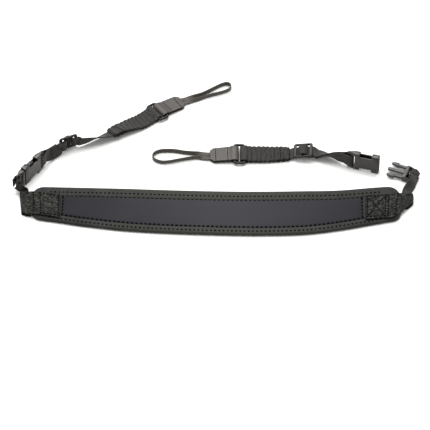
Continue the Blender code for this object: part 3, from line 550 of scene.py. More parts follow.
def stripMesh(name, stations, across):
    # rounded selvedges: full thickness inside, half-round edges
    loops, cloth = [], []
    travelled = 0.0
    last = len(stations) - 1
    for index, (centre, lateral, width, thick) in enumerate(stations):
        ahead = (stations[min(index + 1, last)][0] - stations[max(index - 1, 0)][0]).normalized()
        side = (lateral - ahead * lateral.dot(ahead)).normalized()
        normal = ahead.cross(side)
        if index:
            travelled += (centre - stations[index - 1][0]).length
        half, edge = width / 2, thick / 2
        inner = [-half + edge + (width - thick) * step / across for step in range(across + 1)]
        places = [-half, -half + 0.15 * edge, -half + 0.5 * edge, *inner]
        places += [half - 0.5 * edge, half - 0.15 * edge, half]
        upper, lower = [], []
        for place in places:
            inset = half - abs(place)
            rise = math.sqrt(max(edge ** 2 - (edge - inset) ** 2, 0.0)) if inset < edge else edge
            upper.append((centre + side * place + normal * rise, (travelled, place, 1.0)))
            lower.append((centre + side * place - normal * rise, (travelled, place, 0.0)))
        loop = upper + lower[-2:0:-1]
        loops.append([point for point, _ in loop])
        cloth += [stamp for _, stamp in loop]
    return meshFrom(name, *skin(loops), cloth), travelled


# the pad: a flat foam band bound in knit, with a softly crowned panel sewn on top
pad = {
    "left": -207.0,
    "right": 209.5,
    "corner": 13.0,
    "leastCorner": 2.0,
    "panelLeft": -173.0,
    "panelRight": 167.0,
    "panelInset": 14.2,
    "panelNear": 9.3,
    "rim": 2.0,
    "rowFar": 9.2,
    "rowNear": 3.6,
    "rowReach": 1.6,
    "seamAt": 13.7,
    "seamReach": 2.2,
    "seamShare": 0.8,
    "topFrom": 4.0,
    "edgeSteps": 290,
    "cornerSteps": 8,
    "endSteps": 26,
    "stitchPitch": 5.8,
    "pitchInset": 10.0,
    "pucker": 0.22,
    # depth, length, width and layer of each unevenness
    "uneven": [(0.12, 26, 26, 3.1), (0.05, 7, 7, 8.4)],
    "unevenFrom": 1.5,
    # inset from the edge and height, from under the pad round its edge to the panel's seam
    "profile": [
        (14.0, 0.0), (11.0, 0.0), (7.0, 0.0), (4.0, 0.05), (1.6, 0.25), (0.6, 0.8), (0.05, 1.7), (0.0, 2.6), (0.1, 3.5),
        (0.5, 4.3), (1.2, 4.85), (2.2, 5.1), (3.6, 5.22), (5.2, 5.25), (6.2, 5.15), (6.9, 4.98), (7.6, 5.15),
        (8.8, 5.26), (10.4, 5.28), (12.0, 5.2), (13.0, 5.0), (13.7, 4.7), (14.1, 4.3), (14.6, 4.1),
    ],
    "fill": 0.55,
    # x, far, near
    "edges": [
        (-215.0, -49.5, -97.5), (-190.0, -49.8, -102.3), (-150.0, -51.0, -110.4), (-100.0, -52.7, -118.0),
        (-50.0, -55.0, -122.0), (0.0, -56.7, -124.3), (50.0, -57.3, -125.3), (100.0, -56.5, -123.6),
        (140.0, -55.4, -117.0), (185.0, -50.4, -106.5), (215.0, -48.5, -99.0),
    ],
}
panel = {
    "cell": 2.4,
    "rows": 22,
    "edgeHeight": 4.3,
    "below": 0.3,
    "crown": 5.9,
    "shoulder": 5.0,
    "cap": 1.3,
    "pressure": 4.0,
    "mass": 0.25,
    "tension": 18,
    "bending": 2.0,
    "quality": 6,
    "frames": 20,
    "fill": 0.45,
    "pucker": 0.3,
    "puckerReach": 3.2,
    "uneven": [(0.22, 34, 20, 1.7), (0.06, 8, 8, 5.2)],
    "unevenReach": 6.0,
}


def unevenness(x, y, waves):
    return sum(depth * noise.noise(Vector((x / long, y / wide, layer))) for depth, long, wide, layer in waves)


def padEdge(x, column):
    rows = pad["edges"]
    index = next((i for i in range(len(rows) - 1) if x <= rows[i + 1][0]), len(rows) - 2)
    left, right = rows[index][0], rows[index + 1][0]
    return spline(rows, index + (x - left) / (right - left))[column]


def nearInset(inset):
    # the border is narrower along the front edge
    rim = pad["rim"]
    return min(inset, rim) + max(inset - rim, 0.0) * (pad["panelNear"] - rim) / (pad["panelInset"] - rim)


def padOutline(inset):
    # closed outline, counted from the far left corner clockwise seen from above
    insets = {1: inset, 2: nearInset(inset)}
    radius = max(pad["corner"] - inset, pad["leastCorner"])
    innerLeft, innerRight = pad["left"] + inset + radius, pad["right"] - inset - radius

    def spoke(angle):
        return Vector((math.cos(math.radians(angle)), math.sin(math.radians(angle)), 0)) * radius

    outline = []
    for column, side, start, end in ((1, 1, innerLeft, innerRight), (2, -1, innerRight, innerLeft)):
        for step in range(pad["edgeSteps"] + 1):
            x = start + (end - start) * step / pad["edgeSteps"]
            outline.append(Vector((x, padEdge(x, column) - side * insets[column], 0)))
        turn = 90.0 * side
        corner = Vector((end, padEdge(end, column) - side * (insets[column] + radius), 0))
        closing = Vector((end, padEdge(end, 3 - column) + side * (insets[3 - column] + radius), 0))
        for step in range(1, pad["cornerSteps"] + 1):
            outline.append(corner + spoke(turn - 90.0 * step / pad["cornerSteps"]))
        first, last = corner + spoke(turn - 90.0), closing + spoke(turn - 90.0)
        for step in range(1, pad["endSteps"]):
            outline.append(first.lerp(last, step / pad["endSteps"]))
        for step in range(pad["cornerSteps"]):
            outline.append(closing + spoke(turn - 90.0 - 90.0 * step / pad["cornerSteps"]))
    return outline


def puckered(distance):
    # deepest at each needle hole, nothing between them
    return (0.5 + 0.5 * math.cos(2 * math.pi * distance / pad["stitchPitch"])) ** 3


def seamDistances(outline):
    walked = [0.0]
    for before, after in zip(outline, outline[1:]):
        walked.append(walked[-1] + (after - before).length)
    return walked


def makePadBand():
    loops = []
    middleLine = seamDistances(padOutline(pad["pitchInset"]))
    for inset, height in pad["profile"]:
        loop = []
        for walked, point in zip(middleLine, padOutline(inset)):
            dip = 0.0
            if height > pad["topFrom"]:
                near = point.y < (padEdge(point.x, 1) + padEdge(point.x, 2)) / 2
                offRow = nearInset(inset) - pad["rowNear"] if near else inset - pad["rowFar"]
                byRow = max(0.0, 1 - abs(offRow) / pad["rowReach"])
                bySeam = max(0.0, 1 - abs(inset - pad["seamAt"]) / pad["seamReach"])
                dip = pad["pucker"] * (byRow + pad["seamShare"] * bySeam) * puckered(walked)
            wander = unevenness(point.x, point.y, pad["uneven"]) if height > pad["unevenFrom"] else 0.0
            loop.append(Vector((point.x, point.y, height - dip + wander)))
        loops.append(loop)
    return finishPiece(shown("padBand", meshFrom("padBand", *skin(loops)), borderKnit),
                       "binding_cloth", "pad_core", "pad_binding")


def panelPlace(x, part):
    # point at a share of the way from the near seam to the far seam
    near, far = padEdge(x, 2) + pad["panelNear"], padEdge(x, 1) - pad["panelInset"]
    return Vector((x, near + (far - near) * part, 0))


def panelRise(x, part):
    wide = padEdge(x, 1) - padEdge(x, 2) - pad["panelInset"] - pad["panelNear"]
    reach = min(x - pad["panelLeft"], pad["panelRight"] - x, wide * min(part, 1 - part))
    share = min(max(reach / panel["shoulder"], 0.0), 1.0)
    return panel["edgeHeight"] + (panel["crown"] - panel["edgeHeight"]) * math.sqrt(1 - (1 - share) ** 2)


def makePanelCushion():
    columns = round((pad["panelRight"] - pad["panelLeft"]) / panel["cell"])
    rows = panel["rows"]
    vertices, pinned = [], []
    for level in (1, 0):
        for column in range(columns + 1):
            x = pad["panelLeft"] + (pad["panelRight"] - pad["panelLeft"]) * column / columns
            for row in range(rows + 1):
                point = panelPlace(x, row / rows)
                onEdge = row in (0, rows) or column in (0, columns)
                height = panelRise(x, row / rows) if level else panel["edgeHeight"] - panel["below"]
                vertices.append(Vector((point.x, point.y, height)))
                if onEdge or not level:
                    pinned.append(len(vertices) - 1)
    across, layer = rows + 1, (columns + 1) * (rows + 1)
    faces = []
    for column in range(columns):
        for row in range(rows):
            a = column * across + row
            faces.append((a, a + 1, a + across + 1, a + across))
            faces.append((layer + a, layer + a + across, layer + a + across + 1, layer + a + 1))
    rim = [column * across for column in range(columns + 1)]
    rim += [columns * across + row for row in range(1, rows + 1)]
    rim += [column * across + rows for column in range(columns - 1, -1, -1)]
    rim += list(range(rows - 1, 0, -1))
    for here, after in zip(rim, rim[1:] + rim[:1]):
        faces.append((here, after, layer + after, layer + here))
    piece = shown("padPanel", meshFrom("padPanel", vertices, faces), panelKnit)
    swell(piece, pinned)
    refine = piece.modifiers.new("Subdivision", "SUBSURF")
    refine.subdivision_type = "CATMULL_CLARK"
    refine.levels = refine.render_levels = 1
    bakeModifiers(piece)
    puckerPanel(piece.data)
    return finishPiece(piece, "panel_cloth", "pad_panel")


def swell(piece, pinned):
    # cloth puffed up by the foam under it, sewn down all round
    start = [vertex.co.copy() for vertex in piece.data.vertices]
    held = piece.vertex_groups.new(name="sewn")
    held.add(pinned, 1.0, "REPLACE")
    cloth = piece.modifiers.new("Cloth", "CLOTH")
    cloth.settings.quality = panel["quality"]
    cloth.settings.mass = panel["mass"]
    cloth.settings.tension_stiffness = panel["tension"]
    cloth.settings.bending_stiffness = panel["bending"]
    cloth.settings.vertex_group_mass = "sewn"
    cloth.settings.use_pressure = True
    cloth.settings.uniform_pressure_force = panel["pressure"]
    cloth.settings.effector_weights.gravity = 0.0
    cloth.collision_settings.use_self_collision = False
    cloth.point_cache.frame_start = 1
    cloth.point_cache.frame_end = panel["frames"]
    for frameNumber in range(1, panel["frames"] + 1):
        bpy.context.scene.frame_set(frameNumber)
    bakeModifiers(piece)
    bpy.context.scene.frame_set(1)
    for vertex, place in zip(piece.data.vertices, start):
        move = vertex.co - place
        if move.length > panel["cap"] * mm:
            vertex.co = place + move.normalized() * panel["cap"] * mm


def puckerPanel(mesh):
    # the seam draws the panel's edge down at each stitch, and the foam lies a little unevenly
    for vertex in mesh.vertices:
        x, y, z = vertex.co / mm
        if z < panel["edgeHeight"]:
            continue
        sideways = min(y - padEdge(x, 2) - pad["panelNear"], padEdge(x, 1) - y - pad["panelInset"])
        endways = min(x - pad["panelLeft"], pad["panelRight"] - x)
        nearest = min(sideways, endways)
        walked = x if sideways < endways else y
        drop = panel["pucker"] * max(0.0, 1 - nearest / panel["puckerReach"]) * puckered(walked)
        wander = unevenness(x, y, panel["uneven"])
        vertex.co.z += (wander * min(1.0, nearest / panel["unevenReach"]) - drop) * mm


padBand = makePadBand()
padPanel = makePanelCushion()
print("pad made")


# how finely the strips are laid, in millimetres along them and in faces across
laid = {
    "step": 0.8,
    "fine": 0.55,
    "tapeStep": 0.9,
    "across": 10,
    "gatheredAcross": 14,
    "tabAcross": 12,
    "tapeAcross": 6,
}

# the ways of the webbing round bars and through a slider: along and height from the bar, in millimetres
turns = {
    "steps": 8,
    "neckIn": (2.3, -2.6),
    "neckOut": (2.3, 2.8),
    "buckleIn": (2.6, 2.8),
    "buckleOut": (2.6, -2.8),
    "buckleNear": (5.6, 1.5),
    "buckleRun": 9.0,
    "overSlider": [(-11.6, 0.7), (-7.4, 0.8), (-5.8, 1.3), (-4.7, 2.6), (-4.1, 4.4), (-2.7, 6.0), (-1.3, 6.75)],
    "overTop": (0.0, 6.9),
    "wrapIn": [(-11.6, -1.0), (-6.8, web["layerOffset"] - 2 * web["thick"]), (-4.4, -1.0), (-2.9, 0.9)],
    "wrapSlack": 0.3,
    "wrapEnd": (1.3, 0.7),
    "settle": 2.5,
    "settlePerDegree": 0.45,
    "leave": 2.4,
    "ringNear": (2.2, 2.1),
    "tabNear": (2.4, 2.2),
    "spacing": 2.0,
}


def strip(name, stations, step, across, material):
    mesh, length = stripMesh(name, resample(stations, step), across)
    return shown(name, mesh, material), length


def makeNeckStrap(side, layout, male):
    middle = (hardware["maleBarNear"] + hardware["maleLength"]) / 2
    width, shift = layout["strapAtBar"]
    bar = male @ Matrix.Translation(Vector((middle, shift, 0)) * mm)
    round180 = arc(0.0, 0.0, hairpin(hardware["maleBarHalf"]), 270, 90, turns["steps"])
    turn = [layout["strapTail"], turns["neckIn"]] + round180 + [turns["neckOut"]]
    stations = inFrame(bar, [(u, layout["strapLevel"] * n) for u, n in turn], width)
    for row in layout["strap"]:
        stations.append((Vector(row[:3]), Vector(row[3:6]).normalized(), row[6], web["thick"]))
    piece, _ = strip("neckStrap_" + side, stations, laid["step"], laid["across"], nylonWebbing)
    return finishPiece(piece, "webbing", "neck_strap_" + side)


def makeConnectorWeb(side, route, layout, bar, slider):
    at, width = layout["sliderAt"], web["strapWidth"]
    half = hardware["sliderLength"] / 2
    settle = half + turns["settle"] + turns["settlePerDegree"] * layout["sliderPitch"]
    rise = turns["overSlider"]
    over = rise + [turns["overTop"]] + [(-u, n) for u, n in reversed(rise)]
    barRadius = hardware["sliderBar"] + web["gap"] + turns["wrapSlack"] + web["thick"] / 2
    wrap = turns["wrapIn"] + arc(0.0, hardware["sliderBarHeight"], barRadius, 180, -20, turns["steps"])
    wrap += [turns["wrapEnd"]]
    round180 = arc(0.0, 0.0, hairpin(hardware["femaleBarHalf"]), 90, 270, turns["steps"])
    turn = [turns["buckleIn"]] + bulged(round180, 0.0, web["buckleBulge"]) + [turns["buckleOut"]]
    single = [(s, 0.0) for s in evenSteps(layout["webEndAt"], at + half + turns["leave"], turns["spacing"])]
    apart = web["layerOffset"] + web["layerSpread"]
    near, high = turns["buckleNear"]
    doubled = evenSteps(at - settle, hardware["femaleLead"] + turns["buckleRun"], turns["spacing"])
    doubled = [(s, apart) for s in doubled] + [(hardware["femaleLead"] + near, high)]
    stations = along(route, single, width) + inFrame(slider, over[::-1], width) + along(route, doubled, width)
    stations += inFrame(bar, turn, width) + along(route, [(s, -n) for s, n in reversed(doubled)], width)
    stations += inFrame(slider, wrap, width)
    piece, _ = strip("connectorWeb_" + side, stations, laid["step"], laid["across"], nylonWebbing)
    return finishPiece(piece, "webbing", "connector_web_" + side)


def startTree(name, inputs):
    tree = bpy.data.node_groups.new(name, "GeometryNodeTree")
    for label, kind in {"Geometry": "Geometry", **inputs, "Finish": "Material"}.items():
        tree.interface.new_socket(label, in_out="INPUT", socket_type="NodeSocket" + kind)
    tree.interface.new_socket("Geometry", in_out="OUTPUT", socket_type="NodeSocketGeometry")
    return tree, addNode(tree, "NodeGroupInput").outputs


def finishTree(tree, geometry, finish):
    real = addNode(tree, "GeometryNodeRealizeInstances", {0: geometry})
    dressed = addNode(tree, "GeometryNodeSetMaterial", {"Geometry": real, "Material": finish})
    addNode(tree, "NodeGroupOutput", {0: dressed})
    return tree


def runTree(piece, tree, values):
    modifier = piece.modifiers.new(tree.name, "NODES")
    modifier.node_group = tree
    sockets = {item.name: item.identifier for item in tree.interface.items_tree if item.in_out == "INPUT"}
    for name, value in values.items():
        modifier[sockets[name]] = value
    bakeModifiers(piece)


# the gathered webbing: cross ribs drawn up by its elastic core, with lengths along it in millimetres
ribs = {
    "pitch": 5.2,
    "height": 1.1,
    # how deep the painted shade in the rib valleys goes
    "paintedValleyShade": 0.85,
    "seeds": {"left": 3.0, "right": 8.0},
    "spacing": 1.1,
    "ringEnd": 4.5,
    "flatAfter": (1.0, 6.0),
    "flareBefore": (9.0, 5.0),
    "flare": 0.6,
    "widenOver": 26.0,
    "fadeAtEnd": 3.0,
    "clearOfRing": 5.0,
}


def makeRibTree():
    tree, given = startTree("gatheredRibs", {"Rib pitch": "Float", "Rib height": "Float", "Seed": "Float"})
    stamp = addNode(tree, "GeometryNodeInputNamedAttribute", {"data_type": "FLOAT_VECTOR", "Name": "cloth"})
    parts = addNode(tree, "ShaderNodeSeparateXYZ", {0: stamp.outputs["Attribute"]}).outputs
    seeded = addNode(tree, "ShaderNodeCombineXYZ", {0: parts[0], 1: parts[1], 2: given["Seed"]})
    wander = addNode(tree, "ShaderNodeTexNoise", {"Scale": 0.09, "Detail": 2.0, "Vector": seeded})
    # one half wave for each rib, pushed to and fro by the noise
    count = addNode(tree, "ShaderNodeMath", {"operation": "DIVIDE", 0: parts[0], 1: given["Rib pitch"]})
    pushed = addNode(tree, "ShaderNodeMath", {"operation": "MULTIPLY", 0: wander, 1: 1.1})
    bent = addNode(tree, "ShaderNodeMath", {"operation": "ADD", 0: count, 1: pushed})
    angle = addNode(tree, "ShaderNodeMath", {"operation": "MULTIPLY", 0: bent, 1: math.pi})
    sine = addNode(tree, "ShaderNodeMath", {"operation": "SINE", 0: angle})
    wave = addNode(tree, "ShaderNodeMath", {"operation": "ABSOLUTE", 0: sine})
    rounded = addNode(tree, "ShaderNodeMath", {"operation": "POWER", 0: wave, 1: 0.6})
    between = {"Value": wander, "From Min": 0.3, "From Max": 0.7, "To Min": 0.7, "To Max": 1.15}
    uneven = addNode(tree, "ShaderNodeMapRange", between)
    varied = addNode(tree, "ShaderNodeMath", {"operation": "MULTIPLY", 0: rounded, 1: uneven})
    lift = addNode(tree, "ShaderNodeMath", {"operation": "MULTIPLY", 0: varied, 1: given["Rib height"]})
    share = addNode(tree, "GeometryNodeInputNamedAttribute", {"data_type": "FLOAT", "Name": "ribShare"})
    ramp = share.outputs["Attribute"]
    ramped = addNode(tree, "ShaderNodeMath", {"operation": "MULTIPLY", 0: lift, 1: ramp})
    reach = addNode(tree, "ShaderNodeMath", {"operation": "MULTIPLY", 0: ramped, 1: mm})
    normal = addNode(tree, "GeometryNodeInputNormal")
    offset = addNode(tree, "ShaderNodeVectorMath", {"operation": "SCALE", 0: normal, "Scale": reach})
    moved = addNode(tree, "GeometryNodeSetPosition", {"Geometry": given["Geometry"], "Offset": offset})
    # painted shade: the valleys between ribs are darkened, stored as "shade" for the webbing's colour to read
    crest = addNode(tree, "ShaderNodeMath", {"operation": "POWER", 0: wave, 1: 0.8})
    hollow = addNode(tree, "ShaderNodeMath", {"operation": "SUBTRACT", 0: 1.0, 1: crest})
    paintedValleyShade = addNode(tree, "ShaderNodeMath", {"operation": "MULTIPLY", 0: hollow, 1: ribs["paintedValleyShade"]})
    shade = addNode(tree, "ShaderNodeMath", {"operation": "MULTIPLY", 0: paintedValleyShade, 1: ramp})
    store = {"data_type": "FLOAT", "domain": "POINT", "Name": "shade", "Geometry": moved, "Value": shade}
    return finishTree(tree, addNode(tree, "GeometryNodeStoreNamedAttribute", store), given["Finish"])


ribTree = makeRibTree()


def makeGatheredWeb(side, route, layout, ring):
    endAt = layout["webEndAt"]
    barAt = layout["ringAt"] - ringBarAt
    start = endAt - web["overlap"]
    layers = []
    for level in (1, -1):
        layer = []
        for s in evenSteps(start, barAt - ribs["ringEnd"], ribs["spacing"]):
            flat = min(max((s - endAt - ribs["flatAfter"][0]) / ribs["flatAfter"][1], 0.0), 1.0)
            flare = min(max((s - barAt + ribs["flareBefore"][0]) / ribs["flareBefore"][1], 0.0), 1.0)
            offset = web["sandwichOffset"] + (web["layerOffset"] - web["sandwichOffset"]) * flat + ribs["flare"] * flare
            widen = min(max((s - start) / ribs["widenOver"], 0.0), 1.0)
            centre, lateral, normal, _ = routeFrame(route, s)
            wide = web["gatherStartWidth"] + (web["wide"] - web["gatherStartWidth"]) * widen
            layer.append((centre + normal * level * offset, lateral, wide, web["thick"]))
        layers.append(layer)
    near, high = turns["ringNear"]
    round180 = arc(-ringBarAt, 0.0, hairpin(hardware["ringBar"] / 2), 90, -90, turns["steps"])
    turn = [(-ringBarAt - near, high)] + bulged(round180, -ringBarAt, web["ringBulge"]) + [(-ringBarAt - near, -high)]
    stations = layers[0] + inFrame(ring, turn, web["wide"]) + layers[1][::-1]
    piece, total = strip("gatheredWeb_" + side, stations, laid["fine"], laid["gatheredAcross"], nylonWebbing)
    share = piece.data.attributes.new("ribShare", "FLOAT", "POINT")
    stamps = piece.data.attributes["cloth"].data
    for index, value in enumerate(share.data):
        walked, _, outward = stamps[index].vector
        fromEnd = min(walked, total - walked)
        fromRing = abs(walked - total / 2)
        ramp = min(1.0, fromEnd / ribs["fadeAtEnd"])
        ramp *= min(1.0, max(0.0, fromRing - ribs["clearOfRing"]) / ribs["fadeAtEnd"])
        value.value = ramp if outward > 0.5 else 0.0
    runTree(piece, ribTree, {
        "Rib pitch": ribs["pitch"], "Rib height": ribs["height"], "Seed": ribs["seeds"][side], "Finish": nylonWebbing,
    })
    # the table keeps the lower ribs flat
    for vertex in piece.data.vertices:
        vertex.co.z = max(vertex.co.z, 0.0)
    return finishPiece(piece, "webbing", "gathered_web_" + side)


def lugTabEnd(layout):
    return layout["ringAt"] + ringBarAt + lug["length"]


def makeLugTab(side, route, layout, ring):
    end, run = lugTabEnd(layout), lug["shoulderRun"]

    def width(s):
        return web["wide"] - 2 * lug["shoulder"] * max(0.0, (s - end) / run + 1.0)

    near, high = turns["tabNear"]
    round180 = arc(ringBarAt, 0.0, hairpin(hardware["ringBar"] / 2), 90, 270, turns["steps"])
    turn = [(ringBarAt + near, high)] + bulged(round180, ringBarAt, web["ringBulge"]) + [(ringBarAt + near, -high)]
    ends = [end, end - run / 2, end - run]
    ends += evenSteps(end - run - lug["afterShoulder"], end - lug["length"] + lug["ringClear"], turns["spacing"])
    top = [(s, web["sandwichOffset"]) for s in ends]
    stations = along(route, top, width) + inFrame(ring, turn, web["wide"])
    stations += along(route, [(s, -n) for s, n in reversed(top)], width)
    piece, _ = strip("lugTab_" + side, stations, laid["step"], laid["tabAcross"], pressedWebbing)
    return finishPiece(piece, "smooth_webbing", "lug_tab_" + side)


def heldRows(route, layout, leaving):
    # where the tape's two ends lie inside the lug tab
    side = layout["loopStarts"] if leaving else -layout["loopStarts"]
    rows = []
    for inset in lug["held"] if leaving else lug["held"][::-1]:
        centre, lateral, _, row = routeFrame(route, lugTabEnd(layout) - inset)
        roll = row[3] if leaving else -row[3]
        rows.append((*(centre + lateral * side * lug["tapeSpread"]), roll if side < 0 else 180.0 + roll))
    return rows


def makeLugLoop(side, route, layout):
    loop = makeRoute(heldRows(route, layout, True) + layout["loop"] + heldRows(route, layout, False))
    path = [(s, 0.0) for s in evenSteps(0.0, loop["length"], lug["tapeSpacing"])]
    stations = along(loop, path, web["tapeWidth"], web["tapeThick"])
    piece, _ = strip("lugLoop_" + side, stations, laid["tapeStep"], laid["tapeAcross"], loopTape)
    return finishPiece(piece, "loop_tape", "lug_loop_" + side)


# moulded hardware keeps the solids' shape, with every edge eased as a mould leaves it
moulding = {"round": 0.32, "segments": 3, "sharpest": 24.0}


def dressMoulding(node, pieceName, finish):
    source = bpy.data.objects[node]
    work = bmesh.new()
    work.from_mesh(source.data)
    bmesh.ops.remove_doubles(work, verts=work.verts, dist=1e-6)
    bmesh.ops.dissolve_limit(work, angle_limit=math.radians(1.0), verts=work.verts, edges=work.edges)
    mesh = bpy.data.meshes.new(pieceName)
    work.to_mesh(mesh)
    work.free()
    mesh.shade_smooth()
    piece = shown(pieceName, mesh, finish)
    ease = piece.modifiers.new("Bevel", "BEVEL")
    ease.width = moulding["round"] * mm
    ease.segments = moulding["segments"]
    ease.limit_method = "ANGLE"
    ease.angle_limit = math.radians(moulding["sharpest"])
    ease.harden_normals = True
    bakeModifiers(piece)
    return finishPiece(piece, "plastic", node)


def makeSide(side):
    layout = sides[side]
    middle = hardware["femaleBar"] / 2
    lead = hardware["femaleLead"]
    female = placement(*layout["female"])
    rows = buckleRows(female, (middle + lead, middle, middle - lead), -layout["female"][4])
    route = makeRoute(rows + layout["route"])
    bar = female @ Matrix.Translation(Vector((middle, 0, 0)) * mm) @ Matrix.Rotation(math.pi, 4, "Z")
    tip = Vector((hardware["sliderLength"] / 2, 0, hardware["sliderLow"])) * mm
    pitch = Matrix.Rotation(math.radians(layout["sliderPitch"]), 4, "Y")
    slider = routeMatrix(route, layout["sliderAt"]) @ Matrix.Translation(tip) @ pitch @ Matrix.Translation(-tip)
    ring = routeMatrix(route, layout["ringAt"])
    male = female @ Matrix.Translation(Vector((hardware["matedTip"], 0, 0)) * mm)
    if layout["male"]:
        male = placement(*layout["male"])
    makeNeckStrap(side, layout, male)
    sewn = [
        makeConnectorWeb(side, route, layout, bar, slider),
        makeGatheredWeb(side, route, layout, ring),
        makeLugTab(side, route, layout, ring),
    ]
    makeLugLoop(side, route, layout)
    dressMoulding("slider_" + side, "sliderFrame_" + side, mattAcetal)
    dressMoulding("ring_" + side, "ringFrame_" + side, mattAcetal)
    dressMoulding("buckle_female_" + side, "buckleFemale_" + side, acetal)
    dressMoulding("buckle_male_" + side, "buckleMale_" + side, acetal)
    return {"route": route, "sewn": sewn}


connectors = {side: makeSide(side) for side in sides}
print("straps, buckles, sliders and rings made")


# the end tabs: wide webbing over the pad's end, folded into a sleeve and back under itself, in millimetres
tabFacts = {
    "thick": 1.25,
    "under": 0.66,
    "foldHeight": 2.45,
    "onPad": 5.97,
    "padClear": 1.1,
    "lipClear": 1.2,
    # out from the pad's end and height, where the lower layer climbs onto the pad
    "climb": [(0.9, 0.66), (0.05, 1.6), (0.0, 3.4), (-0.35, 4.9), (-1.4, 5.87)],
    "padSteps": 12,
    "across": 30,
    "lineSteps": 110,
    "spacing": 0.5,
    "ripple": [(0.1, 9, 9, 2.0)],
}
tabOutline = padOutline(-tabFacts["padClear"])


def padEndAt(y, side):
    # x of the pad's end at a distance y from the front, with room for the webbing
    best = None
    for here, after in zip(tabOutline, tabOutline[1:] + tabOutline[:1]):
        if (here.y - y) * (after.y - y) <= 0 and here.y != after.y:
            x = here.x + (after.x - here.x) * (y - here.y) / (after.y - here.y)
            best = x if best is None or side * x > side * best else best
    if best is None:
        return pad["right"] if side > 0 else pad["left"]
    return best


def tabPoint(row, place, height):
    farX, farY, nearX, nearY = row[:4]
    return Vector((nearX + (farX - nearX) * place, nearY + (farY - nearY) * place, height))


def tabLine(rows, place):
    # the webbing's run at one place across its width, from the pad's top out, round the fold and back
    side = 1 if rows[0][0] > 0 else -1
    points = [tabPoint(row, place, row[5] - tabFacts["thick"] / 2) for row in rows[:-1]]
    points.append(tabPoint(rows[-1], place, tabFacts["foldHeight"]))
    lower = [tabPoint(row, place, tabFacts["under"]) for row in rows[6:3:-1]]
    y = lower[-1].y
    endX = padEndAt(y, side)
    points += [point for point in lower if side * point.x > side * endX + tabFacts["lipClear"]]
    y = points[-1].y
    points += [Vector((endX + side * out, y, height)) for out, height in tabFacts["climb"]]
    start, inner = points[-1], tabPoint(rows[0], place, 0)
    for step in range(1, tabFacts["padSteps"] + 1):
        onward = start.lerp(inner, step / tabFacts["padSteps"])
        points.append(Vector((onward.x, onward.y, tabFacts["onPad"])))
    return points


def evenLine(points, count):
    # the same number of points on every line, so the lines join into a sheet
    stations = [(point, Vector((0, 1, 0)), 1.0, 1.0) for point in points]
    fine = [row[0] for row in resample(stations, tabFacts["spacing"])]
    walked = seamDistances(fine)
    evened, index = [], 0
    for step in range(count):
        target = walked[-1] * step / (count - 1)
        while index < len(walked) - 2 and walked[index + 1] < target:
            index += 1
        t = (target - walked[index]) / max(walked[index + 1] - walked[index], 1e-9)
        evened.append(fine[index].lerp(fine[index + 1], t))
    return evened, walked[-1]


def edgeShares(length, thick):
    # places close together at a rounded edge, and how full the webbing is at each
    edge = thick / 2
    ease = [0.0, 0.15 * edge, 0.5 * edge, edge]
    return [e / length for e in ease], [math.sqrt(max(1 - (1 - e / edge) ** 2, 0.0)) for e in ease]


def makeEndTab(side):
    rows = sides[side]["tab"]
    width = (Vector(rows[2][:2]) - Vector(rows[2][2:4])).length
    shares, rises = edgeShares(width, tabFacts["thick"])
    inner = [shares[-1] + (1 - 2 * shares[-1]) * step / tabFacts["across"] for step in range(1, tabFacts["across"])]
    places = shares + inner + [1 - share for share in reversed(shares)]
    lifts = rises + [1.0] * len(inner) + rises[::-1]
    lines, lengths = zip(*[evenLine(tabLine(rows, place), tabFacts["lineSteps"]) for place in places])
    vertices, stamps = [], []
    count = len(lines[0])
    last = count - 1
    for column, line in enumerate(lines):
        before, after = lines[max(column - 1, 0)], lines[min(column + 1, len(lines) - 1)]
        for index, point in enumerate(line):
            ahead = line[min(index + 1, last)] - line[max(index - 1, 0)]
            normal = ahead.cross(after[index] - before[index])
            if rows[0][0] < 0:
                normal.negate()
            normal.normalize()
            lift = lifts[column] * (0.0 if index in (0, last) else 1.0) * tabFacts["thick"] / 2
            walked, across = lengths[column] * index / last, places[column] * width
            ripple = unevenness(walked, across, tabFacts["ripple"])
            for level in (1, -1):
                vertices.append(point + normal * (level * lift + ripple * lifts[column]))
                stamps.append((walked, across, float(level > 0)))
    faces = []
    for column in range(len(lines)):
        for index in range(count):
            a, b = (column * count + index) * 2, ((column + 1) * count + index) * 2
            if column < len(lines) - 1 and index < last:
                faces += [(a, a + 2, b + 2, b), (a + 1, b + 1, b + 3, a + 3)]
            if column in (0, len(lines) - 1) and index < last:
                faces.append((a, a + 1, a + 3, a + 2))
            if column < len(lines) - 1 and index in (0, last):
                faces.append((a, a + 1, b + 1, b))
    mesh = meshFrom("endTab_" + side, vertices, faces, stamps)
    work = bmesh.new()
    work.from_mesh(mesh)
    bmesh.ops.remove_doubles(work, verts=work.verts, dist=1e-7)
    bmesh.ops.recalc_face_normals(work, faces=work.faces)
    work.to_mesh(mesh)
    work.free()
    return finishPiece(shown("endTab_" + side, mesh, ballisticNylon), "webbing", "end_tab_" + side)


endTabs = {side: makeEndTab(side) for side in sides}
print("end tabs made")


# sewn seams: every run is a line of one small stitch, drawn wider than the thread so that it shows, in millimetres
seams = {
    # pitch, length, width, height
    "pad": (5.0, 3.3, 2.8, 0.95),
    "border": (4.7, 2.7, 2.4, 0.85),
    "tab": (3.6, 3.0, 2.0, 0.75),
    "web": (2.6, 2.2, 1.1, 0.5),
    "proud": 0.12,
    "seed": 5,
    "reach": 5.0,
    "spacing": 0.8,
    "abovePad": 8.0,
    "aboveTab": 12.0,
    "insidePanel": 1.0,
    "cornerGap": 2.4,
    "borderEnd": 186.0,
    "panelSteps": 420,
    "borderSteps": 460,
}


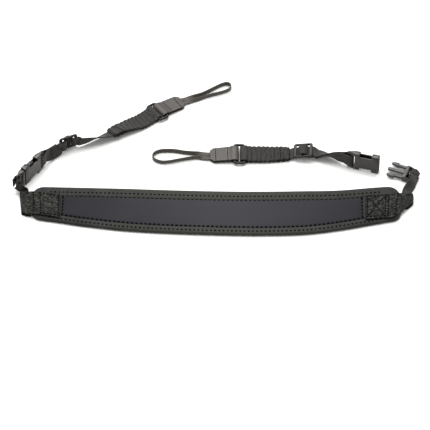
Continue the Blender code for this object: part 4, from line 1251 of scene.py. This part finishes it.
def makeStitchTree():
    tree, given = startTree("stitches", {"Stitch pitch": "Float", "Stitch size": "Vector", "Seed": "Int"})
    curve = addNode(tree, "GeometryNodeMeshToCurve", {0: given["Geometry"]})
    spacing = {"mode": "LENGTH", "Curve": curve, "Length": given["Stitch pitch"]}
    spaced = addNode(tree, "GeometryNodeResampleCurve", spacing)
    tangent = addNode(tree, "GeometryNodeInputTangent")
    stamp = addNode(tree, "GeometryNodeInputNamedAttribute", {"data_type": "FLOAT_VECTOR", "Name": "outward"})
    outward = stamp.outputs["Attribute"]
    aimed = addNode(tree, "FunctionNodeAlignRotationToVector", {"axis": "X", "Vector": tangent})
    rise = {"axis": "Z", "pivot_axis": "X", "Rotation": aimed, "Vector": outward}
    upright = addNode(tree, "FunctionNodeAlignRotationToVector", rise)
    vary = {"data_type": "FLOAT_VECTOR", 0: (0.86, 0.9, 0.85), 1: (1.1, 1.08, 1.1), "Seed": given["Seed"]}
    varied = addNode(tree, "FunctionNodeRandomValue", vary)
    size = addNode(tree, "ShaderNodeVectorMath", {"operation": "MULTIPLY", 0: varied, 1: given["Stitch size"]})
    stitch = addNode(tree, "GeometryNodeMeshUVSphere", {"Segments": 8, "Rings": 5, "Radius": 0.5})
    smooth = addNode(tree, "GeometryNodeSetShadeSmooth", {"Geometry": stitch})
    place = {"Points": spaced, "Instance": smooth, "Rotation": upright, "Scale": size}
    return finishTree(tree, addNode(tree, "GeometryNodeInstanceOnPoints", place), given["Finish"])


stitchTree = makeStitchTree()


def surfaceOf(pieces):
    work = bmesh.new()
    for piece in pieces:
        work.from_mesh(piece.data)
    surface = BVHTree.FromBMesh(work)
    work.free()
    return surface


def sew(name, pieces, lines, kind):
    # lines are lists of (point, way into the cloth) in millimetres
    surface = surfaceOf(pieces)
    pitch, length, width, height = seams[kind]
    reach = seams["reach"]
    vertices, edges, outward = [], [], []
    for line in lines:
        previous = None
        for point, into in line:
            place, normal, _, _ = surface.ray_cast((point - into * reach) * mm, into, 4.0 * reach * mm)
            if place is None:
                previous = None
                continue
            if normal.dot(into) > 0:
                normal.negate()
            vertices.append(place + normal * height * seams["proud"] * mm)
            outward.append(normal)
            if previous is not None:
                edges.append((previous, len(vertices) - 1))
            previous = len(vertices) - 1
    mesh = bpy.data.meshes.new(name)
    mesh.from_pydata(vertices, edges, [])
    stamp = mesh.attributes.new("outward", "FLOAT_VECTOR", "POINT")
    for index, value in enumerate(stamp.data):
        value.vector = outward[index]
    piece = shown(name, mesh, sewingThread)
    size = (length * mm, width * mm, height * mm)
    runTree(piece, stitchTree, {
        "Stitch pitch": pitch * mm, "Stitch size": size, "Seed": seams["seed"], "Finish": sewingThread,
    })
    return finishPiece(piece, "webbing")


down = Vector((0, 0, -1))


def straight(start, end, into=down):
    start, end = Vector(start), Vector(end)
    count = max(2, round((end - start).length / seams["spacing"]))
    return [(start.lerp(end, step / count), into) for step in range(count + 1)]


def alongPad(left, right, steps, far, near):
    # two rows that follow the pad's far and near edges at these insets
    xs = [left + (right - left) * step / steps for step in range(steps + 1)]
    return [[(Vector((x, padEdge(x, 1) - far, seams["abovePad"])), down) for x in xs],
            [(Vector((x, padEdge(x, 2) + near, seams["abovePad"])), down) for x in xs]]


def padLines():
    inside, gap, high = seams["insidePanel"], seams["cornerGap"], seams["abovePad"]
    far, near = pad["panelInset"] + inside, pad["panelNear"] + inside
    left, right = pad["panelLeft"] + inside, pad["panelRight"] - inside
    sewn = alongPad(left, right, seams["panelSteps"], far, near)
    for x in (left, right):
        sewn.append(straight((x, padEdge(x, 2) + near + gap, high), (x, padEdge(x, 1) - far - gap, high)))
    return sewn


def borderLines():
    end = seams["borderEnd"]
    return alongPad(-end, end, seams["borderSteps"], pad["rowFar"], pad["rowNear"])


def tabRow(side, out):
    # far and near end of the tab's cross line that lies so far along it, in rows of the layout table
    rows = sides[side]["tab"]
    index = min(int(out), len(rows) - 2)
    ends = []
    for first in (0, 2):
        here, after = (Vector((*rows[at][first:first + 2], seams["aboveTab"])) for at in (index, index + 1))
        ends.append(here.lerp(after, out - index))
    return ends


# where the tabs are sewn: lines across at these rows of their tables, and a box between two of them
tabSeams = {
    "left": {"across": [0.14, 1.62, 2.5], "box": (0.14, 1.62), "edges": (0.06, 0.94), "cross": False},
    "right": {"across": [0.1, 1.25, 1.55, 2.6], "box": (0.1, 1.25), "edges": (0.07, 0.93), "cross": True},
}


def tabLines(side):
    plan = tabSeams[side]

    def ends(out):
        far, near = tabRow(side, out)
        return [near.lerp(far, share) for share in plan["edges"]]

    runs = [straight(*ends(out)) for out in plan["across"]]
    (firstNear, firstFar), (lastNear, lastFar) = [ends(out) for out in plan["box"]]
    runs += [straight(firstNear, lastNear), straight(firstFar, lastFar)]
    if plan["cross"]:
        runs += [straight(firstNear, lastFar), straight(firstFar, lastNear)]
    return runs


# cross seams of the straps: from which end they are counted, how far along, and half their length
webSeams = {"narrow": 6.3, "wide": [(1.2, 7.4), (-0.8, 8.2)], "lug": [(7.5, 9.4), (-6.5, 9.2)]}


def crossLine(route, s, half):
    centre, lateral, normal, _ = routeFrame(route, s)
    # sewn on the side that shows
    into = -normal if normal.z > 0 or normal.y < 0 else normal
    return straight(centre - lateral * half, centre + lateral * half, into)


def sideLines(side):
    layout, route = sides[side], connectors[side]["route"]
    starts = (layout["webEndAt"] - web["overlap"], layout["webEndAt"])
    tabs = (layout["ringAt"] + ringBarAt, lugTabEnd(layout))
    places = [(s, webSeams["narrow"]) for s in layout["sewnAt"]]
    places += [(at + offset, half) for at, (offset, half) in zip(starts, webSeams["wide"])]
    places += [(at + offset, half) for at, (offset, half) in zip(tabs, webSeams["lug"])]
    return [crossLine(route, s, half) for s, half in places]


sew("padSeams", [padBand, padPanel], padLines(), "pad")
sew("borderSeams", [padBand], borderLines(), "border")
for side in sides:
    sew("tabSeams_" + side, [endTabs[side]], tabLines(side), "tab")
    sew("webSeams_" + side, connectors[side]["sewn"], sideLines(side), "web")
print("seams sewn")


# plain pale table and soft studio light
studio = {
    "floorHalf": 3.0,
    "world": 0.75,
    "softbox": {"place": (-0.25, 0.75, 2.2), "target": (0, -0.02, 0), "power": 125.0, "size": 2.4},
    "fill": {"place": (0.6, -1.9, 1.6), "target": (0, -0.05, 0), "power": 8.0, "size": 1.8},
}


def makeFloor():
    mesh = bpy.data.meshes.new("table")
    half = studio["floorHalf"]
    mesh.from_pydata([(-half, -half, 0), (half, -half, 0), (half, half, 0), (-half, half, 0)], [], [(0, 1, 2, 3)])
    # matt paper sweep: very faint fibre, nearly white
    paper = specklyMaterial("matt paper", {
        "color": "#d2d2d0", "second": "#c8c8c6", "share": 0.3, "scale": 300.0, "detail": 3.0,
        "roughness": 0.9, "gloss": 0.5,
    })
    shown("table", mesh, paper)


def makeLight(name, facts):
    data = bpy.data.lights.new(name, "AREA")
    data.shape = "SQUARE"
    data.size = facts["size"]
    data.energy = facts["power"]
    lamp = bpy.data.objects.new(name, data)
    bpy.context.scene.collection.objects.link(lamp)
    lamp.location = facts["place"]
    lamp.rotation_euler = (Vector(facts["target"]) - Vector(facts["place"])).to_track_quat("-Z", "Y").to_euler()


def makeWorld(strength):
    world = bpy.data.worlds.new("studio")
    world.use_nodes = True
    background = world.node_tree.nodes["Background"]
    background.inputs["Color"].default_value = (1.0, 1.0, 1.0, 1.0)
    background.inputs["Strength"].default_value = strength
    bpy.context.scene.world = world


makeFloor()
makeLight("softbox above and behind", studio["softbox"])
makeLight("soft fill", studio["fill"])
makeWorld(studio["world"])
bpy.context.scene.view_settings.view_transform = "Standard"
print("table and lights made")
